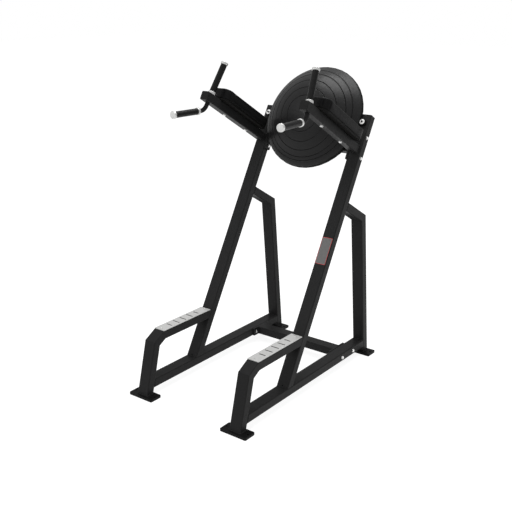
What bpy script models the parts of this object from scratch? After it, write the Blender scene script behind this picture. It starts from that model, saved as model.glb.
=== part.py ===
"""Dip and knee raise station: two leaning side frames joined by two bolted cross tubes.

The user stands between the arms and faces -Y, with the back against the round dome pad.
The origin is on the floor under the middle of the whole length, with +Z up and +X to one side.
Heights and places on the leaning uprights are given in their own axes: x across, n behind
the front face of the uprights, s up along that face from the top of the base rail.
"""

import math

import bmesh
import bpy
from mathutils import Matrix, Quaternion, Vector

# Driving dimensions, in metres and degrees

GAP = 0.0003                # clearance between pieces that touch

FRONT_EDGE = -0.68502       # front edge of the front plates: the dome reaches as far behind
FRAME_LENGTH = 1.330        # front edge of the front plates to back edge of the rear plates
SIDE_OFFSET = 0.331         # middle plane to the centre of each side frame

TUBE_WIDTH = 0.075          # frame tube, across
TUBE_DEPTH = 0.050          # frame tube, in the plane of the side frame
TUBE_WALL = 0.003
TUBE_CORNER = 0.006         # outer corner radius

PLATE_LENGTH = 0.080        # foot plate, front to back
PLATE_WIDTH = 0.170         # foot plate, across
PLATE_THICK = 0.015
PLATE_CORNER = 0.006
PLATE_HOLE_RADIUS = 0.0055
PLATE_HOLE_OFFSET = 0.071   # anchor hole from the centre of the plate

RAIL_CLEARANCE = 0.046      # floor to the underside of the base rail
LEG_INSET = 0.019           # front edge of the plate to the leg
LEG_LEAN = 14.2             # front leg from the vertical
BEND_HEIGHT = 0.3154        # floor to the outer corner between leg and bend
BEND_PITCH = 28.8           # bend piece from the horizontal
STEP_HEIGHT = 0.358         # floor to the top of the step tube

UPRIGHT_SETBACK = 0.435     # front edge to where the upright's front face meets the base rail
UPRIGHT_LEAN = 29.8         # upright from the vertical
UPRIGHT_LENGTH = 1.613      # along its front face
DRAIN_RADIUS = 0.004
DRAIN_HEIGHT = 0.012        # drain hole above the foot of the upright

POST_INSET = 0.013          # back edge of the plate to the rear post
POST_LEAN = 5.8             # rear post from the vertical, top forward
BRACE_HEIGHT = 1.102        # top of the brace, along the upright

TREAD_LENGTH = 0.400
TREAD_WIDTH = 0.073
TREAD_THICK = 0.003
TREAD_CORNER = 0.003
TREAD_SETBACK = 0.001       # front corner of the step tube to the tread
SLOT_COUNT = 5
SLOT_PITCH = 0.057
SLOT_FIRST = 0.082          # front edge of the tread to the first slot
SLOT_WIDTH = 0.007
SLOT_LENGTH = 0.052
SLOT_END_LENGTH = 0.042     # the first and last slots are shorter
TREAD_SCREW_INSET = 0.017   # screw holes from the front and back edges
TREAD_SCREW_RADIUS = 0.0025

FLANGE_THICK = 0.010
FLANGE_LENGTH = 0.165
FLANGE_CORNER = 0.004
CROSS_BOLT_SPACING = 0.124
CROSS_BOLT_RADIUS = 0.005
CROSS_BOLT_TAIL = 0.004     # thread left past the nut
VENT_RADIUS = 0.004         # vent through each flange into the cross tube
LOWER_CROSS_INSET = 0.258   # rear edge to the centre of the lower cross tube
UPPER_CROSS_HEIGHT = 1.423  # centre of the upper crossbeam, along the uprights

HEX_ACROSS = 0.016          # across the flats of the hexagon heads and nuts
HEX_THICK = 0.0065
NUT_THICK = 0.008
FLANGE_HEAD_RADIUS = 0.010
FLANGE_HEAD_THICK = 0.0015

ARM_SIZE = 0.050            # square arm tube
ARM_WALL = 0.003
ARM_CORNER = 0.005
ARM_HEIGHT = 1.4045         # arm axis, along the upright
ARM_LENGTH = 0.610

CAP_LIP = 0.003             # plastic end caps, outside the tube
CAP_DEPTH = 0.015           # plastic end caps, inside the tube

PAD_WIDTH = 0.130
PAD_TO_HANDLE = 0.0595      # front end of the arm pad to the middle of the handle
PAD_REAR = 0.070            # rear end of the arm pad, ahead of the upright
PAD_FRONT_CORNER = 0.045
PAD_REAR_CORNER = 0.020
PAD_BOARD_THICK = 0.012
PAD_BOARD_MARGIN = 0.003    # the board stays this far inside the cushion's outline
PAD_HEIGHT = 0.060          # cushion, board to crown
PAD_CROWN = 0.003
PAD_EDGE = 0.006            # rounding along the top edge
PAD_DRAW = 0.002            # how far the sides are drawn in at the board
PAD_BOLT_INSET = 0.1065     # pad bolts from the ends of the pad
PAD_BOLT_RADIUS = 0.004
PAD_BOLT_SHORT = 0.002      # the bolt ends this far below the cushion
INSERT_RADIUS = 0.007

HANDLE_SETBACK = 0.0435     # front end of the arm to the handle
HANDLE_RADIUS = 0.0125
HANDLE_WALL = 0.0025
HANDLE_LEAN = 7.0           # upper grip leans inwards
HANDLE_TOE = 3.5            # lower grip points outwards
HANDLE_DROP = 0.071         # arm axis down to the level of the lower grip, along the upright
HANDLE_BEND_RADIUS = 0.050
HANDLE_RUN = 0.0163         # straight stretch from the bend to the lower collar
COLLAR_RADIUS = 0.0215
COLLAR_LENGTH = 0.015
UPPER_GRIP_LENGTH = 0.164
LOWER_GRIP_LENGTH = 0.168
GRIP_RADIUS = 0.018
GRIP_EDGE = 0.002
KNOB_LENGTH = 0.014         # aluminium end cap of the handle
KNOB_EDGE = 0.002
KNOB_SPIGOT = 0.018         # its spigot inside the tube

DOME_HEIGHT = 1.565         # centre of the dome's rim, along the uprights
DOME_RADIUS = 0.3145
DOME_RISE = 0.131           # cushion, back to crown
DOME_SPHERE = 0.465         # radius of the domed front
DOME_PITCH = 10.2           # crown turned from the uprights towards the vertical
DOME_DROP = 0.030           # crown below the centre of the rim
DOME_TURN_REACH = 0.2975    # radius where the crown's turn and drop would end
DOME_TURN_TAIL = 0.283      # from this radius they fade out towards the rim
DOME_EDGE = 0.012           # rounding of the cushion's rim
DOME_GROOVE_FIRST = 0.105   # radius of the innermost groove
DOME_GROOVE_RADII = (DOME_GROOVE_FIRST, 0.158, 0.2065, 0.249, 0.278)
DOME_GROOVE_WIDTH = 0.004
DOME_GROOVE_DEPTH = 0.0025
DOME_BOARD_RADIUS = 0.317
DOME_BOARD_THICK = 0.015
DOME_EAR_RADIUS = 0.020
DOME_BOLT_RADIUS = 0.005
DOME_BOLT_HEAD = 0.009      # radius of the socket head
DOME_BOLT_RISE = 0.005
DOME_BOLT_CROWN = 0.0063     # radius of the flat round the socket
DOME_BOLT_EDGE = 0.002       # height of the head's straight edge
DOME_BOLT_TAIL = 0.003
DOME_SOCKET_ACROSS = 0.008
DOME_SOCKET_DEPTH = 0.003
DOME_WASHER_RADIUS = 0.015
DOME_WASHER_THICK = 0.002

CORNER_STEPS = 4
SLOT_STEPS = 4
DOME_EDGE_STEPS = 4
PAD_FRONT_STEPS = 5
ROUND_STEPS = 12
TURN_STEPS = 16
DOME_STEPS = 40

# Places worked out from the driving dimensions

RAIL_TOP = RAIL_CLEARANCE + TUBE_DEPTH
TUBE_INNER_X = SIDE_OFFSET - TUBE_WIDTH / 2
TUBE_OUTER_X = SIDE_OFFSET + TUBE_WIDTH / 2
ARM_TOP = ARM_HEIGHT + ARM_SIZE / 2
ARM_BOTTOM = ARM_HEIGHT - ARM_SIZE / 2
HANDLE_PLACE = ARM_LENGTH - HANDLE_SETBACK
PAD_FRONT = HANDLE_PLACE - PAD_TO_HANDLE
REAR_EDGE = FRONT_EDGE + FRAME_LENGTH
PLATE_FRONT_Y = FRONT_EDGE + PLATE_LENGTH / 2
PLATE_REAR_Y = REAR_EDGE - PLATE_LENGTH / 2
FRAME_SHAPE = (TUBE_WIDTH, TUBE_DEPTH, TUBE_WALL, TUBE_CORNER)
ARM_SHAPE = (ARM_SIZE, ARM_SIZE, ARM_WALL, ARM_CORNER)
SIDES = (("left", -1), ("right", 1))

# Colour, roughness and metallic value of each finish

FINISHES = {
    "paint": ((0.030, 0.030, 0.032), 0.45, 0.0),
    "plastic": ((0.020, 0.020, 0.021), 0.50, 0.0),
    "vinyl": ((0.025, 0.025, 0.026), 0.45, 0.0),
    "wood": ((0.050, 0.045, 0.040), 0.70, 0.0),
    "rubber": ((0.018, 0.018, 0.018), 0.60, 0.0),
    "aluminium": ((0.750, 0.755, 0.760), 0.35, 1.0),
    "zinc": ((0.700, 0.700, 0.690), 0.30, 1.0),
}


# Scene, collections and materials

def clear_scene():
    """Remove every object that the file opens with."""
    for old in list(bpy.data.objects):
        bpy.data.objects.remove(old, do_unlink=True)


def new_collection(name):
    """Make a collection under the scene's own."""
    made = bpy.data.collections.new(name)
    bpy.context.scene.collection.children.link(made)
    return made


clear_scene()
PARTS = new_collection("dip_and_knee_raise_station")
CUTTERS = new_collection("cutters")


def add_part(name, mesh, finish, matrix=None, smooth=False):
    """Make one named part with a material of its own."""
    made = bpy.data.objects.new(name, mesh)
    PARTS.objects.link(made)
    made.matrix_world = matrix or Matrix.Identity(4)
    colour, roughness, metallic = FINISHES[finish]
    material = bpy.data.materials.new(name + "_" + finish)
    material.use_nodes = True
    shader = material.node_tree.nodes["Principled BSDF"]
    shader.inputs["Base Color"].default_value = (*colour, 1.0)
    shader.inputs["Roughness"].default_value = roughness
    shader.inputs["Metallic"].default_value = metallic
    mesh.materials.clear()
    mesh.materials.append(material)
    if smooth:
        mesh.shade_smooth()
        mesh.set_sharp_from_angle(angle=math.radians(35))
    return made


def add_cutter(name, mesh, matrix=None):
    """Make a cutter, kept out of the model."""
    made = bpy.data.objects.new(name, mesh)
    CUTTERS.objects.link(made)
    made.matrix_world = matrix or Matrix.Identity(4)
    made.hide_render = True
    made.display_type = "WIRE"
    return made


def boolean(target, other, operation="DIFFERENCE", solver="EXACT"):
    """Cut a part by a cutter, or join the two."""
    step = target.modifiers.new(operation.lower() + "_" + other.name, "BOOLEAN")
    step.object = other
    step.operation = operation
    step.solver = solver


def evaluated_mesh(source):
    """Mesh of an object with its modifiers, or of a curve, with its seams welded."""
    bpy.context.view_layer.update()
    graph = bpy.context.evaluated_depsgraph_get()
    mesh = bpy.data.meshes.new_from_object(source.evaluated_get(graph))
    work = bmesh.new()
    work.from_mesh(mesh)
    bmesh.ops.remove_doubles(work, verts=work.verts, dist=0.00001)
    work.to_mesh(mesh)
    work.free()
    return mesh


def take_mesh(source):
    """Turn a working object into a plain mesh and remove the object."""
    mesh = evaluated_mesh(source)
    bpy.data.objects.remove(source, do_unlink=True)
    return mesh


# Frames of reference

def axes_matrix(place, x_axis, y_axis, z_axis):
    """Matrix from an origin and three unit axes."""
    made = Matrix((x_axis, y_axis, z_axis)).transposed().to_4x4()
    made.translation = place
    return made


def side_point(x, flat):
    """A point of a side frame's plane (front to back, height) at a place across."""
    return Vector((x, flat.x, flat.y))


def turn_right(direction):
    """The direction turned by a quarter, to the inner side of a tube."""
    return Vector((direction.y, -direction.x))


def slope(degrees_from_vertical):
    """Unit direction in the side plane, leaning back from the vertical."""
    angle = math.radians(degrees_from_vertical)
    return Vector((math.sin(angle), math.cos(angle)))


UP = slope(UPRIGHT_LEAN)
BACK = turn_right(UP)
FOOT = Vector((FRONT_EDGE + UPRIGHT_SETBACK, RAIL_TOP))
LEAN_FRAME = axes_matrix(side_point(0.0, FOOT), Vector((1, 0, 0)), side_point(0.0, BACK), side_point(0.0, UP))


def leaning(x, n, s):
    """World matrix at a place in the uprights' own axes."""
    return LEAN_FRAME @ Matrix.Translation((x, n, s))


def facing(place, direction):
    """World matrix at a place whose Z axis follows a direction."""
    return Matrix.Translation(place) @ direction.to_track_quat("Z", "Y").to_matrix().to_4x4()


# Flat outlines

def arc(cx, cy, radius, start, sweep, steps):
    """Points of an arc, angles in degrees."""
    points = []
    for step in range(steps + 1):
        angle = math.radians(start + sweep * step / steps)
        points.append((cx + radius * math.cos(angle), cy + radius * math.sin(angle)))
    return points


def rounded_rectangle(width, depth, radius, steps=CORNER_STEPS):
    """Outline of a rectangle with round corners."""
    points = []
    for sign_x, sign_y, start in ((1, -1, -90), (1, 1, 0), (-1, 1, 90), (-1, -1, 180)):
        corner_x = sign_x * (width / 2 - radius)
        corner_y = sign_y * (depth / 2 - radius)
        points += arc(corner_x, corner_y, radius, start, 90, steps)
    return points


def circle(cx, cy, radius, steps=ROUND_STEPS):
    """Outline of a round hole."""
    return arc(cx, cy, radius, 0, 360, steps)[:-1]


def slot(cx, cy, length, width, steps=SLOT_STEPS):
    """Outline of a slot along X with round ends."""
    half = (length - width) / 2
    right = arc(cx + half, cy, width / 2, -90, 180, steps)
    left = arc(cx - half, cy, width / 2, 90, 180, steps)
    return right + left


def plate_mesh(loops, thickness):
    """Flat plate from an outline and its holes, with its thickness centred on the plane."""
    curve = bpy.data.curves.new("outline", "CURVE")
    curve.dimensions = "2D"
    curve.fill_mode = "BOTH"
    curve.extrude = thickness / 2
    for loop in loops:
        spline = curve.splines.new("POLY")
        spline.points.add(len(loop) - 1)
        for point, (x, y) in zip(spline.points, loop):
            point.co = (x, y, 0.0, 1.0)
        spline.use_cyclic_u = True
    work = bpy.data.objects.new("outline", curve)
    CUTTERS.objects.link(work)
    return take_mesh(work)


# Round and hexagonal pieces

def turned_mesh(profile, steps=TURN_STEPS, closed=False):
    """Turned body about Z from (radius, height) points that run down its outer side."""
    mesh = bpy.data.meshes.new("profile")
    edges = [(i, i + 1) for i in range(len(profile) - 1)]
    if closed:
        edges.append((len(profile) - 1, 0))
    mesh.from_pydata([(radius, 0.0, height) for radius, height in profile], edges, [])
    work = bpy.data.objects.new("profile", mesh)
    CUTTERS.objects.link(work)
    screw = work.modifiers.new("turn", "SCREW")
    screw.axis = "Z"
    screw.steps = steps
    screw.render_steps = steps
    screw.use_merge_vertices = True
    screw.merge_threshold = 0.00001
    return take_mesh(work)


def prisms_mesh(places, sides):
    """Regular prisms along Z, each from its (middle, radius, length), as one mesh."""
    work = bmesh.new()
    for middle, radius, length in places:
        bmesh.ops.create_cone(
            work, cap_ends=True, segments=sides, radius1=radius, radius2=radius, depth=length, matrix=middle
        )
    mesh = bpy.data.meshes.new("prisms")
    work.to_mesh(mesh)
    work.free()
    return mesh


def prism_mesh(sides, radius, low, high):
    """Regular prism along Z between two heights."""
    middle = Matrix.Translation((0.0, 0.0, (low + high) / 2))
    return prisms_mesh([(middle, radius, high - low)], sides)


def cut_holes(name, targets, drills, sides=ROUND_STEPS):
    """Drill round holes, each a (middle, radius, length), through some parts."""
    cutter = add_cutter(name, prisms_mesh(drills, sides))
    for target in targets:
        boolean(target, cutter)


def hexagon_radius(across):
    """Corner radius of a hexagon from its width across flats."""
    return across / math.sqrt(3)


def joined(first, second, operation, solver="EXACT"):
    """Mesh of two meshes joined or cut."""
    target = add_cutter("joint_target", first)
    other = add_cutter("joint_other", second)
    boolean(target, other, operation, solver)
    mesh = evaluated_mesh(target)
    bpy.data.objects.remove(target, do_unlink=True)
    bpy.data.objects.remove(other, do_unlink=True)
    return mesh


def hex_bolt_mesh(radius, length, collar_radius, collar_low, collar_high, collar_sides):
    """Flanged hexagon bolt along Z, its head above z = 0, with its nut or insert on the shank."""
    shank = turned_mesh(
        [
            (0.0, FLANGE_HEAD_THICK),
            (FLANGE_HEAD_RADIUS, FLANGE_HEAD_THICK),
            (FLANGE_HEAD_RADIUS, 0.0),
            (radius, 0.0),
            (radius, -length),
            (0.0, -length),
        ],
        ROUND_STEPS,
    )
    head = prism_mesh(6, hexagon_radius(HEX_ACROSS), FLANGE_HEAD_THICK / 2, HEX_THICK)
    nut = prism_mesh(collar_sides, collar_radius, collar_low, collar_high)
    return joined(joined(shank, head, "UNION"), nut, "UNION")


# Tubes of the side frames

def meet(point, direction, other_point, other_direction):
    """Where two lines of the side plane cross."""
    normal = turn_right(other_direction)
    distance = (other_point - point).dot(normal) / direction.dot(normal)
    return point + direction * distance


def section_mesh(width, depth, wall, corner):
    """Length of rectangular tube along Z, one metre long, centred."""
    outer = rounded_rectangle(width, depth, corner)
    inner = rounded_rectangle(width - 2 * wall, depth - 2 * wall, corner - wall)
    return plate_mesh([outer, inner], 1.0)


def side_tube(shape, ways, corners, start, end):
    """Hollow tube in the side plane, with a mitre at its middle where it has two ways.

    The shape is its width, depth, wall and corner radius. The corners lie on its outer face:
    one point of that face for a straight tube, or the outer point of the mitre. The tube lies
    to the right of its way, and each end is cut by a plane (point, normal).
    """
    width, depth, wall, corner = shape
    work = bmesh.new()
    work.from_mesh(section_mesh(width, depth, wall, corner))
    if len(ways) > 1:
        everything = work.verts[:] + work.edges[:] + work.faces[:]
        bmesh.ops.bisect_plane(work, geom=everything, plane_co=(0, 0, 0), plane_no=(0, 0, 1))
    mitre = (ways[0] + ways[-1]).normalized()
    for vertex in work.verts:
        way, cut = (ways[-1], end) if vertex.co.z > 0 else (ways[0], start)
        if abs(vertex.co.z) < TUBE_WALL:
            cut = (corners, mitre)
        base = corners + turn_right(way) * (vertex.co.y + depth / 2)
        plane_point, plane_normal = cut
        run = (plane_point - base).dot(plane_normal) / way.dot(plane_normal)
        vertex.co = side_point(vertex.co.x, base + way * run)
    mesh = bpy.data.meshes.new("tube")
    work.to_mesh(mesh)
    work.free()
    return mesh


def both_sides(name, mesh, turn, finish, smooth=False):
    """The same piece on the left and right side frames."""
    made = []
    for side, sign in SIDES:
        place = Matrix.Translation((sign * SIDE_OFFSET, 0.0, 0.0)) @ turn
        made.append(add_part(side + "_" + name, mesh.copy(), finish, place, smooth))
    return made


def build_side_frames():
    """Legs, steps, rails, uprights, braces and posts, with mitred ends."""
    leg_way = slope(LEG_LEAN)
    bend_way = slope(90.0 - BEND_PITCH)
    step_way = Vector((1.0, 0.0))
    post_way = slope(-POST_LEAN)
    brace_way = BACK
    floor_way = Vector((0.0, 1.0))

    leg_foot = Vector((FRONT_EDGE + LEG_INSET, PLATE_THICK))
    bend_corner = meet(leg_foot, leg_way, Vector((0.0, BEND_HEIGHT)), step_way)
    step_corner = meet(bend_corner, bend_way, Vector((0.0, STEP_HEIGHT)), step_way)
    post_back = Vector((REAR_EDGE - POST_INSET, PLATE_THICK))
    post_foot = post_back - turn_right(post_way) * TUBE_DEPTH
    brace_top = FOOT + UP * BRACE_HEIGHT + BACK * TUBE_DEPTH
    brace_corner = meet(brace_top, brace_way, post_back, post_way)

    step_mitre = (bend_way + step_way).normalized()
    half = GAP / 2

    on_plate = (Vector((0.0, PLATE_THICK + GAP)), floor_way)
    on_rail = (Vector((0.0, RAIL_TOP + GAP)), floor_way)
    leg_back = (leg_foot + turn_right(leg_way) * (TUBE_DEPTH + GAP), turn_right(leg_way))
    post_front = (post_foot - turn_right(post_way) * GAP, turn_right(post_way))
    upright_front = (FOOT - BACK * GAP, BACK)
    upright_back = (brace_top + BACK * GAP, BACK)
    upright_end = (FOOT + UP * UPRIGHT_LENGTH, UP)
    below_step = (step_corner - step_mitre * half, step_mitre)
    past_step = (step_corner + step_mitre * half, step_mitre)

    tubes = {
        "front_leg": ((leg_way, bend_way), bend_corner, on_plate, below_step),
        "step_tube": ((step_way,), step_corner, past_step, upright_front),
        "base_rail": ((step_way,), Vector((0.0, RAIL_TOP)), leg_back, post_front),
        "upright": ((UP,), FOOT, on_rail, upright_end),
        "rear_brace": ((brace_way, -post_way), brace_corner, upright_back, on_plate),
    }
    made = {}
    for name, (ways, corner, start, end) in tubes.items():
        mesh = side_tube(FRAME_SHAPE, ways, corner, start, end)
        made[name] = both_sides(name, mesh, Matrix.Identity(4), "paint")
    return made, step_corner


def build_arms():
    """Square arms that stand square to the uprights."""
    forward = -BACK
    base = FOOT + UP * ARM_BOTTOM
    start = (base + forward * GAP, forward)
    end = (base + forward * ARM_LENGTH, forward)
    mesh = side_tube(ARM_SHAPE, (forward,), base, start, end)
    return both_sides("arm_tube", mesh, Matrix.Identity(4), "paint")


def cap_mesh(shape):
    """Plastic end cap: its lip starts at z = 0 and its plug goes down into the tube."""
    width, depth, wall, corner = shape
    lip = plate_mesh([rounded_rectangle(width, depth, corner)], CAP_LIP)
    plug_inset = wall + GAP
    plug_outline = rounded_rectangle(width - 2 * plug_inset, depth - 2 * plug_inset, corner - plug_inset)
    plug = plate_mesh([plug_outline], CAP_DEPTH + CAP_LIP / 2)
    lip.transform(Matrix.Translation((0.0, 0.0, CAP_LIP / 2)))
    plug.transform(Matrix.Translation((0.0, 0.0, (CAP_LIP / 2 - CAP_DEPTH) / 2)))
    return joined(lip, plug, "UNION")


def build_end_caps():
    """Caps on the tops of the uprights and the front ends of the arms."""
    upright_cap = cap_mesh(FRAME_SHAPE)
    top = leaning(0.0, TUBE_DEPTH / 2, UPRIGHT_LENGTH + GAP)
    both_sides("upright_cap", upright_cap, top, "plastic")
    arm_cap = cap_mesh(ARM_SHAPE)
    front = leaning(0.0, -ARM_LENGTH - GAP, ARM_HEIGHT) @ Matrix.Rotation(math.radians(90), 4, "X")
    both_sides("arm_end_cap", arm_cap, front, "plastic")


# Feet, treads and drain holes

def build_foot_plates():
    """Four floor plates, each with two anchor holes."""
    outline = rounded_rectangle(PLATE_WIDTH, PLATE_LENGTH, PLATE_CORNER)
    holes = [circle(sign * PLATE_HOLE_OFFSET, 0.0, PLATE_HOLE_RADIUS) for sign in (-1, 1)]
    mesh = plate_mesh([outline] + holes, PLATE_THICK)
    for name, y in (("front_foot_plate", PLATE_FRONT_Y), ("rear_foot_plate", PLATE_REAR_Y)):
        both_sides(name, mesh, Matrix.Translation((0.0, y, PLATE_THICK / 2)), "paint")


def build_treads(step_corner, step_tubes):
    """Slotted aluminium treads, with the holes of the screws that hold them."""
    front = step_corner.x + TREAD_SETBACK
    middle = front + TREAD_LENGTH / 2
    outline = rounded_rectangle(TREAD_WIDTH, TREAD_LENGTH, TREAD_CORNER)
    loops = [outline]
    for index in range(SLOT_COUNT):
        length = SLOT_END_LENGTH if index in (0, SLOT_COUNT - 1) else SLOT_LENGTH
        y = front + SLOT_FIRST + SLOT_PITCH * index - middle
        loops.append(slot(0.0, y, length, SLOT_WIDTH))
    screw_reach = TREAD_LENGTH / 2 - TREAD_SCREW_INSET
    loops += [circle(0.0, sign * screw_reach, TREAD_SCREW_RADIUS + GAP) for sign in (-1, 1)]
    mesh = plate_mesh(loops, TREAD_THICK)
    level = STEP_HEIGHT + GAP + TREAD_THICK / 2
    both_sides("step_tread", mesh, Matrix.Translation((0.0, middle, level)), "aluminium")

    spots = [(side * SIDE_OFFSET, middle + sign * screw_reach) for _, side in SIDES for sign in (-1, 1)]
    places = [Matrix.Translation((x, y, STEP_HEIGHT)) for x, y in spots]
    drills = [(place, TREAD_SCREW_RADIUS + GAP, 4 * TUBE_WALL) for place in places]
    cut_holes("tread_screw_holes", step_tubes, drills)


def drain_drills():
    """Drain hole at the foot of each upright's front face."""
    turn = Matrix.Rotation(math.radians(90), 4, "X")
    places = [leaning(sign * SIDE_OFFSET, 0.0, DRAIN_HEIGHT) @ turn for _, sign in SIDES]
    return [(place, DRAIN_RADIUS, 3 * TUBE_WALL) for place in places]


# Cross tubes

def build_cross(name, frame, spot_names):
    """A cross tube with welded end flanges and its bolts. Returns the drills of the side tubes.

    In the given frame x is across, y runs along the flange and z is the tube's depth.
    """
    flange_x = TUBE_INNER_X - GAP - FLANGE_THICK / 2
    spots = [sign * CROSS_BOLT_SPACING / 2 for sign in (-1, 1)]
    across = Matrix.Rotation(math.radians(90), 4, "Y")

    tube = section_mesh(TUBE_DEPTH, TUBE_WIDTH, TUBE_WALL, TUBE_CORNER)
    for vertex in tube.vertices:
        vertex.co.z = math.copysign(flange_x, vertex.co.z)
    outline = rounded_rectangle(TUBE_DEPTH, FLANGE_LENGTH, FLANGE_CORNER)
    holes = [circle(0.0, y, CROSS_BOLT_RADIUS + GAP) for y in spots]
    holes.append(circle(0.0, 0.0, VENT_RADIUS))
    for _, sign in SIDES:
        flange = plate_mesh([outline] + holes, FLANGE_THICK)
        flange.transform(Matrix.Translation((0.0, 0.0, sign * flange_x)))
        tube = joined(tube, flange, "UNION", "MANIFOLD")
    add_part(name + "_tube", tube, "paint", frame @ across)

    grip = TUBE_WIDTH + FLANGE_THICK + 3 * GAP
    nut_radius = hexagon_radius(HEX_ACROSS)
    length = grip + NUT_THICK + CROSS_BOLT_TAIL
    bolt = hex_bolt_mesh(CROSS_BOLT_RADIUS, length, nut_radius, -grip - NUT_THICK, -grip, 6)
    for side, sign in SIDES:
        outwards = Matrix.Rotation(math.radians(90 * sign), 4, "Y")
        for y, spot_name in zip(spots, spot_names):
            head = Matrix.Translation((sign * (TUBE_OUTER_X + GAP), y, 0.0))
            add_part(side + "_" + name + "_bolt_" + spot_name, bolt.copy(), "zinc", frame @ head @ outwards)

    full_width = 2 * TUBE_OUTER_X + 4 * TUBE_WALL
    places = [frame @ Matrix.Translation((0.0, y, 0.0)) @ across for y in spots]
    return [(place, CROSS_BOLT_RADIUS + GAP, full_width) for place in places]


# Arm pads

def pad_outline(margin=0.0):
    """Plan of an arm pad: x across, y along the arm with its front end at -y."""
    half = PAD_WIDTH / 2 - margin
    front = -(PAD_FRONT - margin)
    rear = -(PAD_REAR + margin)
    front_corner = PAD_FRONT_CORNER - margin
    rear_corner = PAD_REAR_CORNER - margin
    points = []
    points += arc(half - front_corner, front + front_corner, front_corner, -90, 90, PAD_FRONT_STEPS)
    points += arc(half - rear_corner, rear - rear_corner, rear_corner, 0, 90, CORNER_STEPS)
    points += arc(-half + rear_corner, rear - rear_corner, rear_corner, 90, 90, CORNER_STEPS)
    points += arc(-half + front_corner, front + front_corner, front_corner, 180, 90, PAD_FRONT_STEPS)
    return points


def pad_levels():
    """Drawn-in distance and height of each level of a cushion, from the board up."""
    side_top = PAD_HEIGHT - PAD_CROWN - PAD_EDGE
    levels = [(PAD_DRAW, 0.0), (0.0, PAD_HEIGHT / 4), (0.0, side_top)]
    for step in (1, 2, 3):
        angle = math.radians(30 * step)
        levels.append((PAD_EDGE * (1 - math.cos(angle)), side_top + PAD_EDGE * math.sin(angle)))
    half = PAD_WIDTH / 2
    for share in (0.45, 0.75):
        rise = PAD_CROWN * math.sin(math.radians(90 * share))
        levels.append((PAD_EDGE + (half - PAD_EDGE) * share, PAD_HEIGHT - PAD_CROWN + rise))
    return levels


def cushion_mesh(outline, levels, spine):
    """Cushion whose outline is drawn in towards a spine, level by level."""
    half = PAD_WIDTH / 2
    work = bmesh.new()

    def level_points(drawn_in, height):
        points = []
        for x, y in outline:
            middle = min(max(y, spine[0]), spine[1])
            share = drawn_in / half
            points.append(Vector((x * (1 - share), y + (middle - y) * share, height)))
        return points

    verts = [work.verts.new(point) for point in level_points(*levels[0])]
    bottom = work.faces.new(verts)
    bottom.normal_update()
    if bottom.normal.z > 0:
        bottom.normal_flip()
    edges = list(bottom.edges)
    for drawn_in, height in levels[1:]:
        made = bmesh.ops.extrude_edge_only(work, edges=edges)["geom"]
        new_verts = [item for item in made if isinstance(item, bmesh.types.BMVert)]
        edges = [item for item in made if isinstance(item, bmesh.types.BMEdge)]
        places = level_points(drawn_in, height)
        risen = [edge for vert in new_verts for edge in vert.link_edges if edge not in edges]
        old = {vert: edge.other_vert(vert) for edge in risen for vert in edge.verts if vert in new_verts}
        order = {vert: index for index, vert in enumerate(verts)}
        following = [None] * len(verts)
        for vert in new_verts:
            index = order[old[vert]]
            vert.co = places[index]
            following[index] = vert
        verts = following
    work.faces.new(verts)
    bmesh.ops.recalc_face_normals(work, faces=work.faces)
    mesh = bpy.data.meshes.new("cushion")
    work.to_mesh(mesh)
    work.free()
    return mesh


def build_arm_pads():
    """Cushions on boards, bolted from below. Returns the drills of the arms."""
    bolt_spots = (PAD_BOLT_INSET - PAD_FRONT, -PAD_BOLT_INSET - PAD_REAR)
    board_bottom = ARM_TOP + GAP
    cushion_bottom = board_bottom + PAD_BOARD_THICK + GAP
    spine = (-PAD_FRONT + PAD_WIDTH / 2, -PAD_REAR - PAD_WIDTH / 2)

    holes = [circle(0.0, y, INSERT_RADIUS + GAP) for y in bolt_spots]
    board = plate_mesh([pad_outline(PAD_BOARD_MARGIN)] + holes, PAD_BOARD_THICK)
    both_sides("arm_pad_board", board, leaning(0.0, 0.0, board_bottom + PAD_BOARD_THICK / 2), "wood")
    cushion = cushion_mesh(pad_outline(), pad_levels(), spine)
    both_sides("arm_pad", cushion, leaning(0.0, 0.0, cushion_bottom), "vinyl", smooth=True)

    bolt_end = cushion_bottom - PAD_BOLT_SHORT - ARM_BOTTOM
    insert_low = ARM_BOTTOM - GAP - board_bottom - PAD_BOARD_THICK
    insert_high = ARM_BOTTOM - GAP - board_bottom
    bolt = hex_bolt_mesh(PAD_BOLT_RADIUS, bolt_end, INSERT_RADIUS, insert_low, insert_high, ROUND_STEPS)
    over = Matrix.Rotation(math.radians(180), 4, "X")
    drills = []
    for side, sign in SIDES:
        for n, spot_name in zip(bolt_spots, ("front", "rear")):
            place = leaning(sign * SIDE_OFFSET, n, ARM_BOTTOM - GAP) @ over
            add_part(side + "_pad_bolt_" + spot_name, bolt.copy(), "zinc", place)
            middle = leaning(sign * SIDE_OFFSET, n, ARM_HEIGHT)
            drills.append((middle, PAD_BOLT_RADIUS + GAP, 2 * ARM_SIZE))
    return drills


# Handles

def handle_ways(sign):
    """Directions of the upper and lower grips of one handle, away from its bend."""
    inwards = Vector((-sign * math.tan(math.radians(HANDLE_LEAN)), 0.0, 0.0))
    upper = (side_point(0.0, UP) + inwards).normalized()
    outwards = Vector((sign * math.tan(math.radians(HANDLE_TOE)), -1.0, 0.0))
    return upper, outwards.normalized()


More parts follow.
